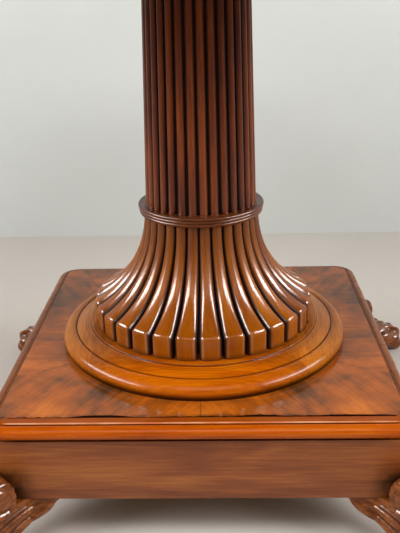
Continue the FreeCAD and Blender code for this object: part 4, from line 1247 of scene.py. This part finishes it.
rim_wood = polished_wood("top_edge_polish", EDGE_TONES, grain_x, 5.2, gloss=0.24, coat=0.4,
                         shade=underside_shade, shade_and_stain=srgb(70, 40, 22))
plain_wood = both_ways("plain_mahogany", PLAIN_TONES, 7.7, gloss=0.5, coat=0.1)
pine = both_ways("pine", PINE_TONES, 9.1, gloss=0.7, coat=0.0, pores=0.1)
print("plain finishes:", len(plain_wood) + len(pine))

# %% [markdown]
# Carved work is painted dark in its hollows as shade, and takes a lighter tone on its ridges. The shader
# knows how a surface bends at each point, which it calls pointiness, and that decides between the dark, the
# middle and the light tone.

# %% Carved wood
def carved_wood(name, hollow_shade, body, ridge):
    finish = Finish(name)
    bend = finish.node("ShaderNodeNewGeometry", {}, {}, "Pointiness")
    streaks = finish.noise(finish.x * 60, finish.y * 60, finish.z * 160, 4.0, 0.6)
    colour = finish.mix(streaks.between(0.3, 0.7) * 0.5, body, ridge)
    # The hollows take the darkest tone as painted shade.
    colour = finish.mix(bend.between(0.495, 0.44), colour, hollow_shade)
    colour = finish.mix(bend.between(0.52, 0.58) * 0.7, colour, ridge)
    rough = 0.22 + bend.between(0.5, 0.42) * 0.3 + streaks * 0.1
    return finish.shell(colour, rough, streaks, 0.08 * MM, Coat_Weight=0.08, Coat_Roughness=0.12,
                        Specular_IOR_Level=0.24)


# The first tone is the painted shade of the hollows.
foot_wood = carved_wood("carved_polish", *tones_of((16, 6, 3), (94, 46, 14), (178, 102, 44)))
print("finish of the carving:", foot_wood.name)

# %% [markdown]
# The platform is laid with twelve leaves of flame veneer, cut from a crotch where the grain fans out like
# a feather. Neighbouring leaves come off the same block one after the other and are turned over like the
# pages of a book, so the figure mirrors at every joint. In the shader the angle round the column is folded
# into one leaf, and streaks are drawn that run out along the leaf and bend towards its edge.

# %% Flame veneer
FLAME_PLACES = (0.34, 0.45, 0.56, 0.68)
# Joints, and the painted shade in the platform's crack, take this dark colour.
JOINT_AND_SHADE_TONE = srgb(26, 9, 3)


def plume(finish, out, off, seed, mottle):
    """Tone of a feathered leaf; out is the way along its middle and off the way from it, in metres.

    mottle is the share of the cloudy blotches that lie over the feather.
    """
    sway = finish.noise(out * 7 + seed, off * 7, seed, 2.0) - 0.5
    lean = out - off * 1.6
    feather = finish.noise(lean * 10 + sway * 1.6, (off + out * 0.1 + sway * 0.035) * 90, seed, 3.0, 0.5)
    fine = finish.noise(lean * 26, (off + sway * 0.02) * 520, seed, 3.0, 0.6)
    cloud = finish.noise(abs(finish.x) * 17 + sway, finish.y * 17 + sway, seed + 5.0, 5.0, 0.55, 0.2)
    return cloud * mottle + feather * (0.64 * (1 - mottle)) + fine * (0.36 * (1 - mottle))


def flame_veneer(name, figure, tones, gloss, coat):
    """figure(finish) gives a tone from 0 to 1 and a mask of dark marks: joints, and on the platform also
    stains and painted shade in the crack.
    """
    finish = Finish(name)
    tone, dark_marks = figure(finish)
    colour = finish.ramp(tone, FLAME_PLACES, tones)
    flecks = finish.cloud(700, 2.0).between(0.6, 0.72)
    colour = finish.mix(flecks * 0.3, colour, tones[0])
    colour = finish.mix(dark_marks * 0.75, colour, JOINT_AND_SHADE_TONE)
    rough = gloss - 0.06 + finish.cloud(13) * 0.14 + flecks * 0.1
    height = tone * 0.3 - dark_marks - flecks * 0.3
    return finish.shell(colour, rough, height, 0.08 * MM, Coat_Weight=coat, Coat_Roughness=0.1,
                        Specular_IOR_Level=0.2)


print("veneer recipe ready")

# %% [markdown]
# On the platform the leaves differ a little, those at the front and the sides are paler, and polish has
# stained the wood along the crack. The veneer's edges inside the crack are painted dark as shade. The top
# has four matched quarters inside a band that runs across the rim, with a dark line between them.

# %% Figures of platform and top
LEAF = math.tau / 12
BAND_WIDTH = 45.0
RIM_REACH = 520.0
FLAME_TONES = tones_of((58, 36, 16), (112, 62, 22), (166, 84, 18), (204, 112, 28))
TOP_TONES = tones_of((92, 50, 16), (124, 66, 18), (158, 80, 16), (184, 98, 24))


def platform_figure(finish):
    turn = bearing(finish) + math.tau
    out = reach(finish)
    page = abs(turn % (2 * LEAF) - LEAF)
    tone = plume(finish, out, page * out, 3.7, 0.6)
    paler = (finish.x / out) ** 4.0 * 0.035 - finish.y / out * 0.015
    leaf = (turn / LEAF).floor()
    patch = finish.noise(leaf * 7.31, 0.5, 0.5, 0.0) * 0.08 - 0.035 + paler
    from_joint = (LEAF / 2 - abs(turn % LEAF - LEAF / 2)) * out
    dark_marks = from_joint.between_mm(0.5, 0.1)
    # The veneer's edges inside the crack are painted dark as shade.
    crack_side_shade = finish.z.between_mm(PLATFORM_TOP - 0.1, PLATFORM_TOP - 0.3)
    blots = finish.noise(finish.x * 45, finish.y * 45, 4.0, 4.0).between(0.35, 0.65)
    soiled = (0.0 - finish.y).between_mm(sheet_front - 9.0, sheet_front - 1.0) * blots
    return tone + patch, dark_marks.or_more(crack_side_shade * 1.3).or_more(soiled)


def top_figure(finish):
    oval = ((finish.x / TOP_HALF_LENGTH / MM) ** 2.0 + (finish.y / TOP_HALF_WIDTH / MM) ** 2.0) ** 0.5
    from_rim = (1.0 - oval) * RIM_REACH * MM
    quarter = plume(finish, abs(finish.x) + 0.2, abs(finish.y) * 0.9, 8.2, 0.24)
    turn = finish.y.angle_from(finish.x)
    across = finish.noise(turn * 170, from_rim * 9, 2.0, 4.0, 0.6) * 0.5 + 0.28
    band = from_rim.between_mm(BAND_WIDTH + 1.0, BAND_WIDTH)
    line = (from_rim.between_mm(BAND_WIDTH - 0.5, BAND_WIDTH)
            * from_rim.between_mm(BAND_WIDTH + 2.0, BAND_WIDTH + 1.5))
    seam = abs(finish.x).between_mm(0.4, 0.1) * from_rim.between_mm(BAND_WIDTH, BAND_WIDTH + 1.0)
    return quarter + band * (across - quarter), line + seam


platform_flame = flame_veneer("platform_flame", platform_figure, FLAME_TONES, 0.14, 0.1)
top_flame = flame_veneer("top_flame", top_figure, TOP_TONES, 0.2, 0.3)
print("veneers:", platform_flame.name, top_flame.name)

# %% [markdown]
# The hardware is small: an iron rod with its nuts, pins and screws, and a brass bolt. Metals take their
# colour in the reflection, so what makes them look used is roughness that changes from place to place,
# and a little tarnish that dulls the metal.

# %% Metals
def old_metal(name, bright, tarnish, polish):
    finish = Finish(name)
    cloud = finish.cloud(60, 5.0, 0.6)
    scratches = finish.noise(finish.x * 900, finish.y * 120, finish.z * 900, 2.0)
    colour = finish.mix(cloud.between(0.45, 0.7), bright, tarnish)
    rough = polish + cloud * 0.25 + scratches * 0.1
    return finish.shell(colour, rough, scratches, 0.02 * MM, Metallic=1.0)


brass = old_metal("old_brass", srgb(214, 168, 92), srgb(126, 88, 44), 0.18)
iron = old_metal("black_iron", srgb(92, 90, 88), srgb(52, 42, 36), 0.38)
print("metals:", brass.name, iron.name)

# %% [markdown]
# Each piece now gets its finish, the body that it moves with, and the CAD node that it stands for.

# %% Settle the pieces
def settle(piece, finish, body, slot, *nodes):
    piece.data.materials.clear()
    piece.data.materials.append(finish)
    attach(piece, body)
    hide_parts(*nodes)


settle(shaft, column_wood, "pedestal", "dark_mahogany", "column_shaft")
settle(collar, collar_wood, "pedestal", "dark_mahogany", "column_collar")
settle(capital, collar_wood, "pedestal", "dark_mahogany", "column_capital")
settle(flare, rib_wood, "pedestal", "ribbed_mahogany", "flared_base")
settle(sheet, platform_flame, "pedestal", "flame_veneer", "platform_veneer")
settle(top_board, rim_wood, "table_top", "edge_mahogany", "oval_top")
settle(top_sheet, top_flame, "table_top", "flame_veneer", "top_veneer")
for side in SIDES:
    settle(plinth[side], plinth_wood[run_of(side)], "pedestal", "plinth_mahogany", "plinth_segment_" + side)
    settle(mouldings[side], edge_wood[side], "pedestal", "edge_mahogany", "edge_moulding_" + side)
    settle(friezes[side], frieze_wood[run_of(side)], "pedestal", "frieze_mahogany", "frieze_" + side)
for corner in CORNERS:
    settle(feet[corner], foot_wood, "pedestal", "carved_mahogany", "foot_" + corner)
for hand in leaves:
    for corner in CORNERS:
        settle(leaves[hand][corner], foot_wood, "pedestal", "carved_mahogany", hand + "_wing_" + corner)
print("nodes replaced:", sum(node.hide_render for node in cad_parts.values()))

# %% [markdown]
# Joinery and hardware keep their CAD solids. A new finish goes into the material slot of each, and the
# mesh itself is left as it is.

# %% Joinery and hardware
def dress(finish, *nodes):
    for node in nodes:
        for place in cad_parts[node].material_slots:
            place.material = finish


dress(pine["x"], "platform_core", "cross_rail_long", "glue_blocks", "foot_dowels")
dress(pine["y"], "cross_rail_short", *("corner_block_" + corner for corner in CORNERS))
dress(plain_wood["x"], "top_block", "catch_packer")
dress(plain_wood["y"], "bearer_right", "bearer_left")
dress(iron, "tie_rod", "tie_rod_nuts", "tie_rod_washers", "pivot_pins", "bearer_screws")
dress(brass, "catch_plate", "catch_screws", "catch_bolt", "strike_plate", "strike_screws")
print("nodes kept:", sum(not node.hide_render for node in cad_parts.values()))

# %% [markdown]
# The studio is a pale floor with a pale wall behind. Both are one-sided, so that they don't hide the table
# from a camera behind or below them. Where the camera looks past them it sees a pale sky, which lights the
# table far less than it shows.

# %% Studio
WALL_Y = 0.905
SKY_LIGHT, SKY_SEEN, SKY_MIRRORED = 0.06, 0.8, 0.1


def plain_panel(name, colour, size, location, rotation=(0, 0, 0)):
    """A matt panel that is only there from its front."""
    put_down()
    bpy.ops.mesh.primitive_plane_add(size=size, location=location, rotation=rotation)
    panel = bpy.context.object
    panel.name = name
    paint = Finish(name + "_paint")
    darker = tuple(part * 0.96 for part in colour[:3]) + (1.0,)
    tint = paint.mix(paint.cloud(3, 4.0).between(0.3, 0.7), colour, darker)
    matt = paint.node("ShaderNodeBsdfPrincipled", {}, {
        "Base Color": tint, "Roughness": 0.8, "Specular IOR Level": 0.0})
    behind = paint.node("ShaderNodeNewGeometry", {}, {}, "Backfacing")
    clear = paint.node("ShaderNodeBsdfTransparent")
    surface = paint.node("ShaderNodeMixShader", {}, {0: behind, 1: matt, 2: clear})
    paint.node("ShaderNodeOutputMaterial", {}, {"Surface": surface})
    panel.data.materials.append(paint.material)
    panel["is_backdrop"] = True


def ray(finish, kind):
    """1 for a ray of this kind, 0 for any other."""
    return finish.node("ShaderNodeLightPath", output=kind)


plain_panel("studio_floor", srgb(221, 214, 206), 5.6, (0, 0, 0))
plain_panel("studio_wall", srgb(216, 220, 216), 10, (0, WALL_Y, 5), (math.pi / 2, 0, 0))
sky = Finish("studio_sky", bpy.data.worlds.new("studio_sky"))
seen = ray(sky, "Is Camera Ray") + ray(sky, "Is Transmission Ray")
shown = seen * SKY_SEEN + ray(sky, "Is Glossy Ray") * SKY_MIRRORED
glow = sky.node("ShaderNodeBackground", {}, {
    "Color": srgb(226, 227, 224), "Strength": SKY_LIGHT + shown})
sky.node("ShaderNodeOutputWorld", {}, {"Surface": glow})
bpy.context.scene.world = sky.material
print("studio built, wall at", WALL_Y, "m")

# %% [markdown]
# Two large lamps at the sides give the soft light, and a weaker one fills in from the front. What a
# polished curve mirrors is another matter: a gleam wants a bright window of the right size at the right
# place. So the lamps that light the wood are hidden from reflections, and the windows are there for
# reflections only: one in front for every piece, and a bright one at each side for the rounded pieces,
# which flat tops would only throw back as a glare. Low slits at the sides draw a thin line on the bullnose.

# %% Lamps
def gathered(name, *pieces):
    """A collection of pieces that a lamp may be meant for."""
    group = bpy.data.collections.new(name)
    for piece in pieces:
        group.objects.link(piece)
    return group


def softbox(name, place, target, size, power, gleams=None):
    """A lamp that lights all surfaces, or is only seen as a gleam in a collection of polished pieces."""
    put_down()
    aim = (Vector(target) - Vector(place)).to_track_quat("-Z", "Y").to_euler()
    bpy.ops.object.light_add(type="AREA", location=place, rotation=aim)
    lamp = bpy.context.object
    lamp.name = name
    lamp.data.shape = "RECTANGLE"
    lamp.data.size, lamp.data.size_y = size
    lamp.data.energy = power
    lamp.visible_diffuse = gleams is None
    lamp.visible_glossy = gleams is not None
    lamp.light_linking.receiver_collection = gleams


BASE = (0, 0, 0.2)
COLUMN = (0, 0, 0.6)
carving = [piece for group in (feet, *leaves.values()) for piece in group.values()]
rounded = gathered("rounded_pieces", shaft, collar, capital, flare, *carving)
turned = gathered("turned_pieces", *plinth.values())
for hand, side in (("left", -1), ("right", 1)):
    softbox(hand + "_key", (side * 2.0, -0.95, 1.55), BASE, (1.2, 1.2), 47)
    softbox(hand + "_window", (side * 1.6, -0.3, 1.45), COLUMN, (1.6, 0.8), 230, rounded)
    softbox(hand + "_slit", (side * 1.6, -0.5, 0.8), BASE, (1.6, 0.25), 56, turned)
softbox("front_fill", (0, -1.6, 2.7), BASE, (1.2, 0.8), 27)
softbox("front_window", (0, -1.5, 1.7), BASE, (1.6, 1.0), 16, bpy.context.collection)
print("lamps:", len(bpy.data.lights))

# %% [markdown]
# Last, the box that the dressed table has now is measured and printed. The second has to lie
# within the first.

# %% Measure and finish
low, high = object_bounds()
print("visual box", [round(value, 4) for value in (*low, *high)])
